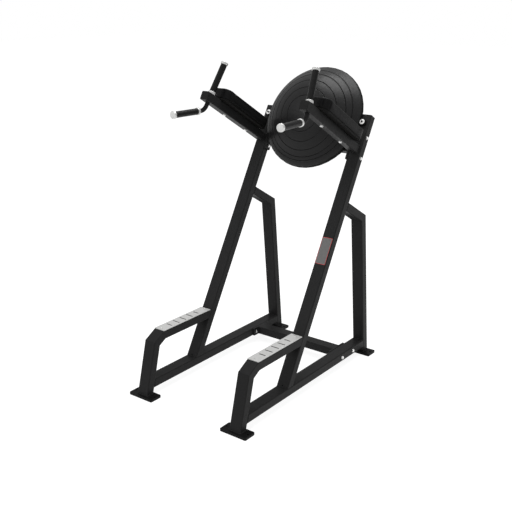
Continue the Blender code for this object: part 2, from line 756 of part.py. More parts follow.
def handle_path(corner, upper, lower, upper_length, lower_length):
    """Points of the handle's centre line: straight, round bend, straight."""
    bend = math.pi - upper.angle(lower)
    tangent = HANDLE_BEND_RADIUS * math.tan(bend / 2)
    inside = (upper + lower).normalized()
    centre = corner + inside * HANDLE_BEND_RADIUS / math.cos(bend / 2)
    first = corner + upper * tangent
    axis = (first - centre).cross(corner + lower * tangent - centre).normalized()
    points = [corner + upper * upper_length]
    steps = 6
    for step in range(steps + 1):
        turn = Quaternion(axis, bend * step / steps)
        points.append(centre + turn @ (first - centre))
    points.append(corner + lower * lower_length)
    return points


def handle_tube_mesh(points):
    """Bent round tube with open ends."""
    curve = bpy.data.curves.new("handle", "CURVE")
    curve.dimensions = "3D"
    curve.bevel_depth = HANDLE_RADIUS
    curve.bevel_resolution = TURN_STEPS // 2 - 2
    curve.use_fill_caps = False
    spline = curve.splines.new("POLY")
    spline.points.add(len(points) - 1)
    for item, point in zip(spline.points, points):
        item.co = (*point, 1.0)
    work = bpy.data.objects.new("handle", curve)
    CUTTERS.objects.link(work)
    mesh = take_mesh(work)
    flip = bmesh.new()
    flip.from_mesh(mesh)
    bmesh.ops.recalc_face_normals(flip, faces=flip.faces)
    flip.to_mesh(mesh)
    flip.free()
    return mesh


def sleeve_mesh(outer, inner, length, edge):
    """Turned sleeve from z = 0 up, its outer edges broken."""
    return turned_mesh(
        [
            (outer - edge, length),
            (outer, length - edge),
            (outer, edge),
            (outer - edge, 0.0),
            (inner, 0.0),
            (inner, length),
        ],
        closed=True,
    )


def knob_mesh():
    """End cap of a handle: a disc above z = 0 with a spigot below it."""
    spigot = HANDLE_RADIUS - HANDLE_WALL - GAP
    return turned_mesh(
        [
            (0.0, KNOB_LENGTH),
            (COLLAR_RADIUS - KNOB_EDGE, KNOB_LENGTH),
            (COLLAR_RADIUS, KNOB_LENGTH - KNOB_EDGE),
            (COLLAR_RADIUS, KNOB_EDGE),
            (COLLAR_RADIUS - KNOB_EDGE, 0.0),
            (spigot, 0.0),
            (spigot, -KNOB_SPIGOT),
            (0.0, -KNOB_SPIGOT),
        ]
    )


def build_handles():
    """Bent handles with their grips, collars and end caps. Returns the drills of the arms."""
    bore = HANDLE_RADIUS + GAP
    collar = sleeve_mesh(COLLAR_RADIUS, bore, COLLAR_LENGTH, KNOB_EDGE)
    upper_grip = sleeve_mesh(GRIP_RADIUS, bore, UPPER_GRIP_LENGTH, GRIP_EDGE)
    lower_grip = sleeve_mesh(GRIP_RADIUS, bore, LOWER_GRIP_LENGTH, GRIP_EDGE)
    knob = knob_mesh()
    lean = math.radians(HANDLE_LEAN)
    collar_rise = (ARM_SIZE / 2 + GAP + COLLAR_RADIUS * math.sin(lean)) / math.cos(lean)
    drop = HANDLE_DROP / math.cos(lean)
    drills = []
    for side, sign in SIDES:
        upper, lower = handle_ways(sign)
        crossing = leaning(sign * SIDE_OFFSET, -HANDLE_PLACE, ARM_HEIGHT).translation
        corner = crossing - upper * drop
        tangent = HANDLE_BEND_RADIUS * math.tan((math.pi - upper.angle(lower)) / 2)
        upper_start = drop + collar_rise
        lower_start = tangent + HANDLE_RUN
        upper_end = upper_start + COLLAR_LENGTH + UPPER_GRIP_LENGTH + 2 * GAP
        lower_end = lower_start + COLLAR_LENGTH + LOWER_GRIP_LENGTH + 2 * GAP
        path = handle_path(corner, upper, lower, upper_end - GAP, lower_end - GAP)
        tube = add_part(side + "_handle_tube", handle_tube_mesh(path), "paint", smooth=True)
        wall = tube.modifiers.new("wall", "SOLIDIFY")
        wall.thickness = HANDLE_WALL
        wall.offset = -1.0
        for way, start, end, grip, name in (
            (upper, upper_start, upper_end, upper_grip, "_upper"),
            (lower, lower_start, lower_end, lower_grip, "_lower"),
        ):
            collar_place = facing(corner + way * start, way)
            grip_place = facing(corner + way * (start + COLLAR_LENGTH + GAP), way)
            cap_place = facing(corner + way * end, way)
            add_part(side + name + "_collar", collar.copy(), "aluminium", collar_place, True)
            add_part(side + name + "_grip", grip.copy(), "rubber", grip_place, True)
            add_part(side + name + "_end_cap", knob.copy(), "aluminium", cap_place, True)
        drills.append((facing(crossing, upper), bore, 2 * ARM_SIZE))
    return drills


# Dome

def dome_rise(radius):
    """Height of the dome's surface above its back at a distance from its axis."""
    return DOME_RISE - DOME_SPHERE + math.sqrt(DOME_SPHERE ** 2 - radius ** 2)


def dome_profile():
    """Half section of the dome from its crown down, with its ring grooves."""
    radii = [DOME_GROOVE_FIRST * step / 3 for step in range(3)]
    points = [(radius, dome_rise(radius)) for radius in radii]
    half = DOME_GROOVE_WIDTH / 2
    previous = None
    for groove in DOME_GROOVE_RADII:
        if previous is not None:
            middle = (previous + groove) / 2
            points.append((middle, dome_rise(middle)))
        points.append((groove - half, dome_rise(groove - half)))
        points.append((groove, dome_rise(groove) - DOME_GROOVE_DEPTH))
        points.append((groove + half, dome_rise(groove + half)))
        previous = groove
    reach = DOME_RADIUS - DOME_EDGE
    inside = DOME_SPHERE - DOME_EDGE
    level = DOME_RISE - DOME_SPHERE + math.sqrt(inside ** 2 - reach ** 2)
    start = math.asin(reach / inside)
    edge_start = reach + DOME_EDGE * math.sin(start)
    for step in (1, 2):
        radius = previous + (edge_start - previous) * step / 3
        points.append((radius, dome_rise(radius)))
    for step in range(DOME_EDGE_STEPS + 1):
        turn = start + (math.pi / 2 - start) * step / DOME_EDGE_STEPS
        points.append((reach + DOME_EDGE * math.sin(turn), level + DOME_EDGE * math.cos(turn)))
    points.append((DOME_RADIUS, 0.0))
    points.append((0.0, 0.0))
    return points


def crown_share(radius):
    """Share of the crown's turn and drop that the dome takes at a distance from its axis."""
    if radius < DOME_TURN_TAIL:
        return 1 - (radius / DOME_TURN_REACH) ** 5
    left = max(0.0, 1 - (radius - DOME_TURN_TAIL) / (DOME_RADIUS - DOME_TURN_TAIL))
    return (1 - (DOME_TURN_TAIL / DOME_TURN_REACH) ** 5) * left ** 2


def pitched_dome(mesh):
    """Turn a dome's crown towards the vertical and lower it, with its rim left flat."""
    slant = math.tan(math.radians(DOME_PITCH))
    for vertex in mesh.vertices:
        place = vertex.co
        share = crown_share(math.hypot(place.x, place.y))
        if place.z > 0.0:
            place.z += slant * share * place.y
            place.y -= DOME_DROP * share
    return mesh


def build_dome():
    """Round pad on its board with bolted ears. Returns the drills of the uprights."""
    frontwards = Matrix.Rotation(math.radians(90), 4, "X")
    reach = math.sqrt(DOME_BOARD_RADIUS ** 2 - DOME_EAR_RADIUS ** 2)
    opening = math.degrees(math.atan2(DOME_EAR_RADIUS, reach))
    outline = arc(SIDE_OFFSET, 0.0, DOME_EAR_RADIUS, -90, 180, TURN_STEPS // 2)
    outline += arc(0.0, 0.0, DOME_BOARD_RADIUS, opening, 180 - 2 * opening, DOME_STEPS // 2)
    outline += arc(-SIDE_OFFSET, 0.0, DOME_EAR_RADIUS, 90, 180, TURN_STEPS // 2)
    outline += arc(0.0, 0.0, DOME_BOARD_RADIUS, 180 + opening, 180 - 2 * opening, DOME_STEPS // 2)
    holes = [circle(sign * SIDE_OFFSET, 0.0, DOME_BOLT_RADIUS + GAP) for _, sign in SIDES]
    board = plate_mesh([outline] + holes, DOME_BOARD_THICK)
    board_place = leaning(0.0, -GAP - DOME_BOARD_THICK / 2, DOME_HEIGHT) @ frontwards
    add_part("dome_board", board, "wood", board_place)

    pad_back = 2 * GAP + DOME_BOARD_THICK
    dome = pitched_dome(turned_mesh(dome_profile(), DOME_STEPS))
    add_part("dome_pad", dome, "vinyl", leaning(0.0, -pad_back, DOME_HEIGHT) @ frontwards, smooth=True)

    washer_back = GAP + DOME_BOARD_THICK + GAP
    washer = turned_mesh(
        [
            (DOME_WASHER_RADIUS, DOME_WASHER_THICK),
            (DOME_WASHER_RADIUS, 0.0),
            (DOME_BOLT_RADIUS + GAP, 0.0),
            (DOME_BOLT_RADIUS + GAP, DOME_WASHER_THICK),
        ],
        closed=True,
    )
    head_back = washer_back + DOME_WASHER_THICK + GAP
    nut_near = head_back + TUBE_WALL + GAP
    length = nut_near + NUT_THICK + DOME_BOLT_TAIL
    round_bolt = turned_mesh(
        [
            (0.0, DOME_BOLT_RISE),
            (DOME_BOLT_CROWN, DOME_BOLT_RISE),
            (DOME_BOLT_HEAD, DOME_BOLT_EDGE),
            (DOME_BOLT_HEAD, 0.0),
            (DOME_BOLT_RADIUS, 0.0),
            (DOME_BOLT_RADIUS, -length),
            (0.0, -length),
        ],
        ROUND_STEPS,
    )
    nut = prism_mesh(6, hexagon_radius(HEX_ACROSS), -nut_near - NUT_THICK, -nut_near)
    socket_radius = hexagon_radius(DOME_SOCKET_ACROSS)
    socket = prism_mesh(6, socket_radius, DOME_BOLT_RISE - DOME_SOCKET_DEPTH, 2 * DOME_BOLT_RISE)
    bolt = joined(joined(round_bolt, nut, "UNION"), socket, "DIFFERENCE")
    drills = []
    for side, sign in SIDES:
        ear = leaning(sign * SIDE_OFFSET, -washer_back, DOME_HEIGHT) @ frontwards
        add_part(side + "_dome_washer", washer.copy(), "zinc", ear)
        head = leaning(sign * SIDE_OFFSET, -head_back, DOME_HEIGHT) @ frontwards
        add_part(side + "_dome_bolt", bolt.copy(), "zinc", head)
        middle = leaning(sign * SIDE_OFFSET, 0.0, DOME_HEIGHT) @ frontwards
        drills.append((middle, DOME_BOLT_RADIUS + GAP, 3 * TUBE_WALL))
    return drills

# Whole object

def main():
    """Build every sub-part of the station."""
    tubes, step_corner = build_side_frames()
    arms = build_arms()
    build_end_caps()
    build_foot_plates()
    build_treads(step_corner, tubes["step_tube"])
    lower = axes_matrix(
        Vector((0.0, REAR_EDGE - LOWER_CROSS_INSET, RAIL_TOP - TUBE_DEPTH / 2)),
        Vector((1, 0, 0)),
        Vector((0, 1, 0)),
        Vector((0, 0, 1)),
    )
    cut_holes("rail_holes", tubes["base_rail"], build_cross("lower_cross", lower, ("front", "rear")))
    upper = leaning(0.0, TUBE_DEPTH / 2, UPPER_CROSS_HEIGHT) @ Matrix.Rotation(math.radians(90), 4, "X")
    upper_drills = build_cross("upper_cross", upper, ("bottom", "top"))
    cut_holes("upright_holes", tubes["upright"], drain_drills() + upper_drills + build_dome())
    cut_holes("arm_holes", arms, build_arm_pads() + build_handles(), TURN_STEPS)
    bpy.context.view_layer.update()


main()
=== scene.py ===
import math

import bmesh
import bpy
from bpy.props import FloatProperty, FloatVectorProperty, PointerProperty
from mathutils import Matrix, Quaternion, Vector
from mathutils.kdtree import KDTree


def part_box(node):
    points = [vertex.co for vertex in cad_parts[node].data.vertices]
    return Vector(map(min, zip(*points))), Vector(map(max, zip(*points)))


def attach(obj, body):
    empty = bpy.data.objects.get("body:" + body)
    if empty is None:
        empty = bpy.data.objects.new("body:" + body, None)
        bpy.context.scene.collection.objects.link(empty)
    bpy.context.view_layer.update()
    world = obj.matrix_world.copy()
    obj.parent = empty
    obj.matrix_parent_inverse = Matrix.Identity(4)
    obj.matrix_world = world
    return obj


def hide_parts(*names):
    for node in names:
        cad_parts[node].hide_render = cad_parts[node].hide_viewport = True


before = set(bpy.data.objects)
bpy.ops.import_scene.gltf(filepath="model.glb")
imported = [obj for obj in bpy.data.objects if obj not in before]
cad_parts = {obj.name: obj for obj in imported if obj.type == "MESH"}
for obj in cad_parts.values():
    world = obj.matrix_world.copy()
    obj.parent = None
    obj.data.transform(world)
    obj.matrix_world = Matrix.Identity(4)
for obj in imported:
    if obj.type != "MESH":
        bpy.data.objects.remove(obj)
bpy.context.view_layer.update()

bl_info = {
    "name": "Dip and Knee Raise Station",
    "version": (1, 0, 0),
    "blender": (4, 5, 0),
    "location": "View3D > Sidebar > Station",
    "description": "Dresses the frame of a dip and knee raise station",
    "category": "Add Mesh",
}

SIDES = (("left", -1), ("right", 1))

# Axes of the leaning uprights: x across, n behind their front face, s up along it
LEAN = math.radians(29.8)
UPRIGHT_FOOT = Vector((0.0, -0.25002, 0.096))
UP = Vector((0.0, math.sin(LEAN), math.cos(LEAN)))
BACK = Vector((0.0, math.cos(LEAN), -math.sin(LEAN)))

SIDE_OFFSET = 0.331
TUBE_HALF = 0.0375
TUBE_DEPTH = 0.050
RAIL_TOP = 0.096
RAIL_BOTTOM = 0.046
ARM_HEIGHT = 1.4045
ARM_HALF = 0.025
PLATE_TOP = 0.015
FLANGE_MIDDLE = 0.2829
COLLAR_LENGTH = 0.015
CAP_LENGTH = 0.014
SPIGOT_LENGTH = 0.018
PLAQUE_HEIGHT = 0.793
CLOTH_FRAMES = 20
FLOOR_GLOW_SHARE = 0.6
CAMERA_PLACE = (2.6143, -3.48772, 2.1560)
CAMERA_YAW = math.radians(37.2408)
CAMERA_PITCH = math.radians(-18.1617)


# Places

def axes_matrix(place, x_axis, y_axis, z_axis):
    """Matrix from an origin and three unit axes."""
    made = Matrix((x_axis, y_axis, z_axis)).transposed().to_4x4()
    made.translation = place
    return made


LEAN_FRAME = axes_matrix(UPRIGHT_FOOT, Vector((1, 0, 0)), BACK, UP)
FRONTWARDS = Matrix.Rotation(math.radians(90), 4, "X")


def leaning(x, n, s):
    """Matrix at a place in the uprights' own axes."""
    return LEAN_FRAME @ Matrix.Translation((x, n, s))


def facing(place, direction):
    """Matrix at a place whose Z axis follows a direction."""
    return Matrix.Translation(place) @ direction.to_track_quat("Z", "Y").to_matrix().to_4x4()


def node_points(node):
    """Places of a frame node's vertices."""
    return [vert.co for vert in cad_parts[node].data.vertices]


def node_axis(node):
    """Middle of a frame node's box."""
    low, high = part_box(node)
    return (Vector(low) + Vector(high)) / 2


# Materials

class Nodes:
    """The node tree of a material or world, with short calls for the nodes used here."""

    def __init__(self, owner):
        owner.use_nodes = True
        self.owner = owner
        self.tree = owner.node_tree
        self.shader = self.tree.nodes.get("Principled BSDF")

    def fill(self, node, sockets):
        """Set or link input sockets of a node, by name or number."""
        for key, value in sockets.items():
            if isinstance(value, bpy.types.NodeSocket):
                self.tree.links.new(value, node.inputs[key])
            else:
                node.inputs[key].default_value = value

    def add(self, kind, sockets=None, **values):
        """Add a node, set its properties and fill its input sockets."""
        node = self.tree.nodes.new(kind)
        for key, value in values.items():
            setattr(node, key, value)
        self.fill(node, sockets or {})
        return node

    def math(self, operation, *values):
        """Maths node over sockets or numbers."""
        return self.add("ShaderNodeMath", dict(enumerate(values)), operation=operation).outputs[0]

    def attribute(self, name):
        """Value of a mesh attribute."""
        return self.add("ShaderNodeAttribute", attribute_name=name).outputs["Fac"]

    def place(self, scale=(1.0, 1.0, 1.0), turn=(0.0, 0.0, 0.0)):
        """Object coordinates, scaled and turned."""
        where = self.add("ShaderNodeTexCoord").outputs["Object"]
        return self.add("ShaderNodeMapping", {"Vector": where, "Scale": scale, "Rotation": turn}).outputs[0]

    def noise(self, vector, scale, detail=3.0):
        """Noise value over a vector."""
        return self.add("ShaderNodeTexNoise", {"Vector": vector, "Scale": scale, "Detail": detail}).outputs["Fac"]

    def ring_noise(self, scale):
        """Noise along the turned attribute, which gives fine lathe rings."""
        sockets = {"W": self.attribute("turned"), "Scale": scale, "Detail": 2.0}
        return self.add("ShaderNodeTexNoise", sockets, noise_dimensions="1D").outputs["Fac"]

    def spread(self, value, low, high, start=0.3, stop=0.7):
        """Map a value to a range."""
        sockets = {"Value": value, "From Min": start, "From Max": stop, "To Min": low, "To Max": high}
        return self.add("ShaderNodeMapRange", sockets).outputs["Result"]

    def paint_shade(self, factor, depth):
        """Painted shade: darken the base colour where a value is high."""
        source = self.shader.inputs["Base Color"].links[0].from_socket
        sockets = {0: factor, 6: source, 7: (1 - depth, 1 - depth, 1 - depth, 1.0)}
        mix = self.add("ShaderNodeMix", sockets, data_type="RGBA", blend_type="MULTIPLY")
        self.fill(self.shader, {"Base Color": mix.outputs[2]})

    def finish(self, tint, rough, *bumps, metallic=0.0, shine=0.5):
        """The material, from its tint (value, colour, depth), its roughness (value, low, high)
        and its bumps (value, strength, distance), the lowest first."""
        value, colour, depth = tint
        dark, light = [(*[min(1.0, c * share) for c in colour], 1.0) for share in (1 - depth, 1 + depth)]
        mix = self.add("ShaderNodeMix", {0: value, 6: dark, 7: light}, data_type="RGBA")
        normal = {}
        for height, strength, distance in bumps:
            sockets = {"Height": height, "Strength": strength, "Distance": distance, **normal}
            normal = {"Normal": self.add("ShaderNodeBump", sockets).outputs["Normal"]}
        self.fill(self.shader, {
            "Base Color": mix.outputs[2], "Roughness": self.spread(*rough), "Metallic": metallic,
            "Specular IOR Level": shine, **normal,
        })
        return self.owner


# Colour, tint (scale, depth), roughness (scale, low, high), bump (scale, strength, distance),
# metallic and shine
PLAIN_MATERIALS = {
    "moulded_plastic": (
        (0.014, 0.014, 0.014), (30.0, 0.12), (220.0, 0.44, 0.58), (1400.0, 0.20, 0.0002), 0.0, 0.10
    ),
    "red_enamel": (
        (0.52, 0.028, 0.032), (60.0, 0.08), (180.0, 0.30, 0.42), (700.0, 0.08, 0.0002), 0.0, 0.5
    ),
    "blackened_steel": (
        (0.045, 0.045, 0.047), (260.0, 0.15), (420.0, 0.26, 0.40), (1700.0, 0.08, 0.0001), 0.6, 0.5
    ),
    "bright_zinc": (
        (0.80, 0.80, 0.79), (260.0, 0.08), (420.0, 0.20, 0.36), (1700.0, 0.10, 0.0001), 1.0, 0.5
    ),
}


def fresh(name, **placing):
    """Nodes of a new material and its object coordinates."""
    made = Nodes(bpy.data.materials.new(name))
    return made, made.place(**placing)


def plain_material(name):
    """One of the plain materials: plastic, enamel, blackened steel or zinc plate."""
    colour, tint, rough, bump, metallic, shine = PLAIN_MATERIALS[name]
    made, where = fresh(name)
    return made.finish(
        (made.noise(where, tint[0]), colour, tint[1]), (made.noise(where, rough[0]), *rough[1:]),
        (made.noise(where, bump[0], 2.0), *bump[1:]), metallic=metallic, shine=shine,
    )


def paint_material(name, colour):
    """Satin powder coat with a fine orange peel."""
    made, where = fresh(name)
    return made.finish(
        (made.noise(where, 6.0, 4.0), colour, 0.10), (made.noise(where, 45.0, 4.0), 0.34, 0.44),
        (made.noise(where, 420.0, 2.0), 0.12, 0.0004), (made.noise(where, 1500.0, 1.0), 0.08, 0.0002),
        shine=0.06,
    )


def vinyl_material(name, colour, grain, strength, roughness, shine):
    """Upholstery vinyl with a pebbled grain, and painted shade in its grooves and creases."""
    made, where = fresh(name)
    sockets = {"Vector": where, "Scale": grain, "Smoothness": 0.6}
    cells = made.add("ShaderNodeTexVoronoi", sockets, feature="SMOOTH_F1").outputs["Distance"]
    made.finish(
        (made.noise(where, 9.0, 5.0), colour, 0.12),
        (made.noise(where, 70.0, 5.0), roughness - 0.06, roughness + 0.06),
        (cells, strength, 0.0005), (made.noise(where, 130.0, 4.0), 0.10, 0.0006), shine=shine,
    )
    # painted shade: the base colour is darkened where the groove attribute is high, in the dome's grooves and the
    # pads' creases
    made.paint_shade(made.attribute("groove"), 0.85)
    return made.owner


def rubber_material():
    """Rubber sleeve with a soft matt skin."""
    made, where = fresh("grip_rubber")
    return made.finish(
        (made.noise(where, 40.0), (0.006, 0.006, 0.006), 0.15), (made.noise(where, 160.0, 4.0), 0.34, 0.46),
        (made.ring_noise(700.0), 0.10, 0.0003), (made.noise(where, 900.0, 3.0), 0.20, 0.0003), shine=0.20,
    )


def turned_material(name, colour, roughness):
    """Turned metal with fine lathe rings."""
    made, where = fresh(name)
    return made.finish(
        (made.noise(where, 50.0), colour, 0.04), (made.ring_noise(2600.0), roughness - 0.05, roughness + 0.08),
        (made.ring_noise(3200.0), 0.04, 0.0001), metallic=0.75,
    )


def brushed_material():
    """Anodised aluminium, brushed along the step."""
    made, strokes = fresh("brushed_aluminium", scale=(1800.0, 14.0, 900.0))
    fine = made.noise(strokes, 1.0, 3.0)
    return made.finish(
        (fine, (0.68, 0.68, 0.67), 0.05), (made.noise(strokes, 1.0, 4.0), 0.34, 0.48),
        (fine, 0.12, 0.00015), (made.noise(made.place(), 60.0, 2.0), 0.04, 0.0003), metallic=0.45,
    )


def board_material():
    """Black stained plywood with ply lines at its edge."""
    made, plies = fresh("stained_plywood", scale=(3.0, 3.0, 3.0), turn=(LEAN, 0.0, 0.0))
    where = made.place()
    sockets = {"Vector": plies, "Scale": 55.0, "Distortion": 1.5}
    wave = made.add("ShaderNodeTexWave", sockets, bands_direction="Z").outputs["Fac"]
    return made.finish(
        (wave, (0.007, 0.0068, 0.0065), 0.30), (made.noise(where, 90.0), 0.55, 0.70),
        (made.noise(where, 500.0, 3.0), 0.20, 0.0004), shine=0.10,
    )


def plaque_material():
    """Bare satin plate with a faint roll grain."""
    made, strokes = fresh("bare_plaque", scale=(600.0, 20.0, 20.0))
    grain = made.noise(strokes, 1.0, 2.0)
    return made.finish(
        (made.noise(strokes, 1.0, 3.0), (0.145, 0.142, 0.140), 0.08), (grain, 0.40, 0.52),
        (grain, 0.05, 0.0001), metallic=0.3,
    )


# Shapes

def span(values):
    """Least and greatest of some values."""
    values = list(values)
    return min(values), max(values)


def bevel(work, edges, width, segments):
    """Round some edges."""
    bmesh.ops.bevel(
        work, geom=edges, offset=width, segments=segments, profile=0.5, affect="EDGES",
        clamp_overlap=True, material=-1,
    )


def soften(work, width, segments=2):
    """Round the edges that are sharper than 60 degrees."""
    bevel(work, [
        edge for edge in work.edges
        if len(edge.link_faces) == 2 and edge.calc_face_angle() > math.radians(60)
    ], width, segments)


def extruded(work, edges):
    """Extrude a ring of edges, and give its new edges and vertices."""
    made = bmesh.ops.extrude_edge_only(work, edges=edges)["geom"]
    kinds = (bmesh.types.BMEdge, bmesh.types.BMVert)
    return [[item for item in made if isinstance(item, kind)] for kind in kinds]


def ring_radius(angle, radius, flats=0):
    """Distance from the axis at an angle, for a round or a many-sided ring."""
    if not flats:
        return radius
    half = math.pi / flats
    return radius * math.cos(half) / math.cos(angle % (2 * half) - half)


def stacked(levels, steps=48, closed=False):
    """Body about Z from (radius, height) levels, its ends capped or joined to each other.
    A third number in a level is its count of flats."""
    work = bmesh.new()
    turned = work.verts.layers.float.new("turned")
    last = levels[0]
    ring = bmesh.ops.create_circle(work, cap_ends=False, segments=steps, radius=last[0])["verts"]
    first = edges = list(work.edges)
    along = 0.0
    for index, level in enumerate(levels):
        if index:
            edges, ring = extruded(work, edges)
        radius, height, *flats = level
        along += math.hypot(radius - last[0], height - last[1])
        last = level
        for vert in ring:
            angle = math.atan2(vert.co.y, vert.co.x)
            reach = ring_radius(angle, radius, *flats)
            vert.co = (reach * math.cos(angle), reach * math.sin(angle), height)
            vert[turned] = along
    if closed:
        bmesh.ops.bridge_loops(work, edges=first + edges)
    else:
        bmesh.ops.edgeloop_fill(work, edges=first)
        bmesh.ops.edgeloop_fill(work, edges=edges)
    bmesh.ops.recalc_face_normals(work, faces=work.faces)
    return work


def swept(path, across, radius, sides=10, closed=False, ripple=0.0, pitch=0.0025):
    """Round bead or tube along a path, its rings kept upright by one fixed direction."""
    work = bmesh.new()
    rings = []
    count = len(path)
    travelled = 0.0
    for index, point in enumerate(path):
        before = path[index - 1] if index or closed else point
        after = path[(index + 1) % count] if index < count - 1 or closed else point
        tangent = (after - before).normalized()
        side = across.cross(tangent).normalized()
        turn = axes_matrix(point, side, tangent.cross(side), tangent)
        travelled += (point - path[index - 1]).length if index else 0.0
        swell = 1.0 + ripple * math.sin(2 * math.pi * travelled / pitch)
        made = bmesh.ops.create_circle(
            work, cap_ends=False, segments=sides, radius=radius * swell, matrix=turn
        )["verts"]
        rings.append(list(dict.fromkeys(edge for vert in made for edge in vert.link_edges)))
    pairs = list(zip(rings, rings[1:]))
    if closed:
        pairs.append((rings[-1], rings[0]))
    for first, second in pairs:
        bmesh.ops.bridge_loops(work, edges=first + second)
    if not closed:
        bmesh.ops.edgeloop_fill(work, edges=rings[0])
        bmesh.ops.edgeloop_fill(work, edges=rings[-1])
    bmesh.ops.recalc_face_normals(work, faces=work.faces)
    return work


def copied_node(node):
    """Merged copy of a frame node, its flat faces made whole."""
    work = bmesh.new()
    work.from_mesh(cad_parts[node].data)
    bmesh.ops.remove_doubles(work, verts=work.verts, dist=0.00002)
    bmesh.ops.dissolve_limit(
        work, angle_limit=math.radians(0.4), verts=work.verts, edges=work.edges, use_dissolve_boundaries=False
    )
    return work


def joined(works):
    """One bmesh from several, with their places kept."""
    total = bmesh.new()
    for work in works:
        mesh = mesh_from(work, "piece")
        total.from_mesh(mesh)
        bpy.data.meshes.remove(mesh)
    return total


def put(work, matrix):
    """Move a bmesh to its place."""
    bmesh.ops.transform(work, matrix=matrix, verts=work.verts)
    return work


def mesh_from(work, name):
    """Mesh from a bmesh, which is freed."""
    mesh = bpy.data.meshes.new(name)
    work.to_mesh(mesh)
    work.free()
    return mesh


def linked(name, data):
    """Object in the scene for a mesh, light or camera."""
    made = bpy.data.objects.new(name, data)
    bpy.context.scene.collection.objects.link(made)
    return made


def add_piece(name, work, material, nodes=(), sharp=35.0, weighted=True):
    """Finish a bmesh as a piece that rides on the frame and stands for its nodes."""
    mesh = mesh_from(work, name)
    mesh.materials.append(material)
    mesh.shade_smooth()
    mesh.set_sharp_from_angle(angle=math.radians(sharp))
    made = linked(name, mesh)
    if weighted:
        flow = made.modifiers.new("even_shading", "WEIGHTED_NORMAL")
        flow.keep_sharp = True
        flow.weight = 100
    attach(made, "root")
    if nodes:
        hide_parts(*nodes)
    return made


def dressed(node, ending, material, edge=0.0, segments=2):
    """Piece in the shape of a frame node, its edges rounded."""
    work = copied_node(node)
    if edge:
        soften(work, edge, segments)
    return add_piece(node + ending, work, material, [node])


def line(start, end, spacing):
    """Evenly spaced points from one place to another."""
    count = max(2, int((end - start).length / spacing))
    return [start.lerp(end, index / count) for index in range(count + 1)]


def arc(cx, cy, radius, start, sweep, steps):
    """Points of a flat arc, angles in degrees."""
    points = []
    for step in range(steps + 1):
        angle = math.radians(start + sweep * step / steps)
        points.append((cx + radius * math.cos(angle), cy + radius * math.sin(angle)))
    return points


def spaced(corners, spacing):
    """Evenly spaced points round a closed flat outline."""
    corners = [Vector((x, y, 0.0)) for x, y in corners]
    points = []
    for first, second in zip(corners, corners[1:] + corners[:1]):
        run = max(1, round((second - first).length / spacing))
        points += [first.lerp(second, step / run) for step in range(run)]
    return points


def rounded_loop(half_x, half_y, radius, spacing):
    """Closed loop of evenly spaced points round a rectangle with round corners."""
    corners = []
    for sign_x, sign_y, start in ((1, -1, -90), (1, 1, 0), (-1, 1, 90), (-1, -1, 180)):
        corners += arc(sign_x * (half_x - radius), sign_y * (half_y - radius), radius, start, 90, 8)
    return spaced(corners, spacing)


# Settings

def length(name, description, default, low=0.0, high=1.0):
    """A length that a user may change."""
    return FloatProperty(
        name=name, description=description, default=default, min=low, max=high, unit="LENGTH", precision=4
    )


def colour(name, description, default):
    """A colour that a user may change."""
    return FloatVectorProperty(
        name=name, description=description, default=default, size=3, min=0.0, max=1.0, subtype="COLOR"
    )


class FrameSettings(bpy.types.PropertyGroup):
    """Sizes and colour of the painted frame"""

    paint: colour("Paint", "Colour of the powder coat", (0.0220, 0.0220, 0.0222))
    # darker copy of the frame paint: painted shade on the foot plates
    shaded_plate_paint: colour("Foot plate paint", "Colour of the foot plates", (0.0090, 0.0090, 0.0091))
    bead: length("Weld bead", "Half width of a weld bead", 0.0028, 0.001, 0.006)
    foot_bead: length("Foot bead", "Half width of the bead at the foot plates", 0.0042, 0.001, 0.008)
    edge: length("Plate edge", "Rounding of the plates' edges", 0.0008, 0.0, 0.003)


class PadSettings(bpy.types.PropertyGroup):
    """Sizes and colour of the arm pads"""

    vinyl: colour("Vinyl", "Colour of the arm pads", (0.0090, 0.0090, 0.0092))
    width: length("Width", "Width of an arm pad", 0.130, 0.05, 0.2)
    height: length("Height", "Height of an arm pad above its board", 0.060, 0.02, 0.1)
    front_corner: length("Front corner", "Plan radius of the front corners", 0.045, 0.005, 0.06)
    rear_corner: length("Rear corner", "Plan radius of the rear corners", 0.020, 0.005, 0.06)
    edge: length("Top edge", "Rounding along the top edge", 0.006, 0.002, 0.02)
    swell: length("Swell", "Most that the foam swells the cover", 0.003, 0.0, 0.01)


class HandleSettings(bpy.types.PropertyGroup):
    """Sizes of the handles"""

    tube: length("Tube radius", "Radius of the bent handle tube", 0.0125, 0.008, 0.02)
    grip: length("Grip radius", "Radius of the rubber grips", 0.018, 0.01, 0.03)
    collar: length("Collar radius", "Radius of the collars and end caps", 0.0215, 0.01, 0.04)
    bend: length("Bend radius", "Centre line radius of the bend", 0.050, 0.02, 0.1)


class BackPadSettings(bpy.types.PropertyGroup):
    """Sizes and colour of the round back pad"""

    vinyl: colour("Vinyl", "Colour of the back pad", (0.0132, 0.0132, 0.0134))
    radius: length("Radius", "Radius of the back pad", 0.3145, 0.1, 0.5)
    rise: length("Rise", "Height of the dome's crown above the pad's back", 0.131, 0.02, 0.2)
    sphere: length("Sphere", "Radius of the domed front", 0.465, 0.35, 2.0)
    drop: length("Drop", "Distance of the crown below the centre of the rim", 0.030, 0.0, 0.1)
    edge: length("Rim edge", "Rounding of the rim", 0.012, 0.004, 0.03)
    pitch: FloatProperty(
        name="Pitch", description="Turn of the crown towards the vertical", default=math.radians(10.2),
        min=0.0, max=math.radians(20), subtype="ANGLE",
    )
    groove: length("Groove width", "Width of the ring grooves", 0.0056, 0.001, 0.01)
    groove_depth: length("Groove depth", "Depth of the ring grooves", 0.0032, 0.0, 0.01)


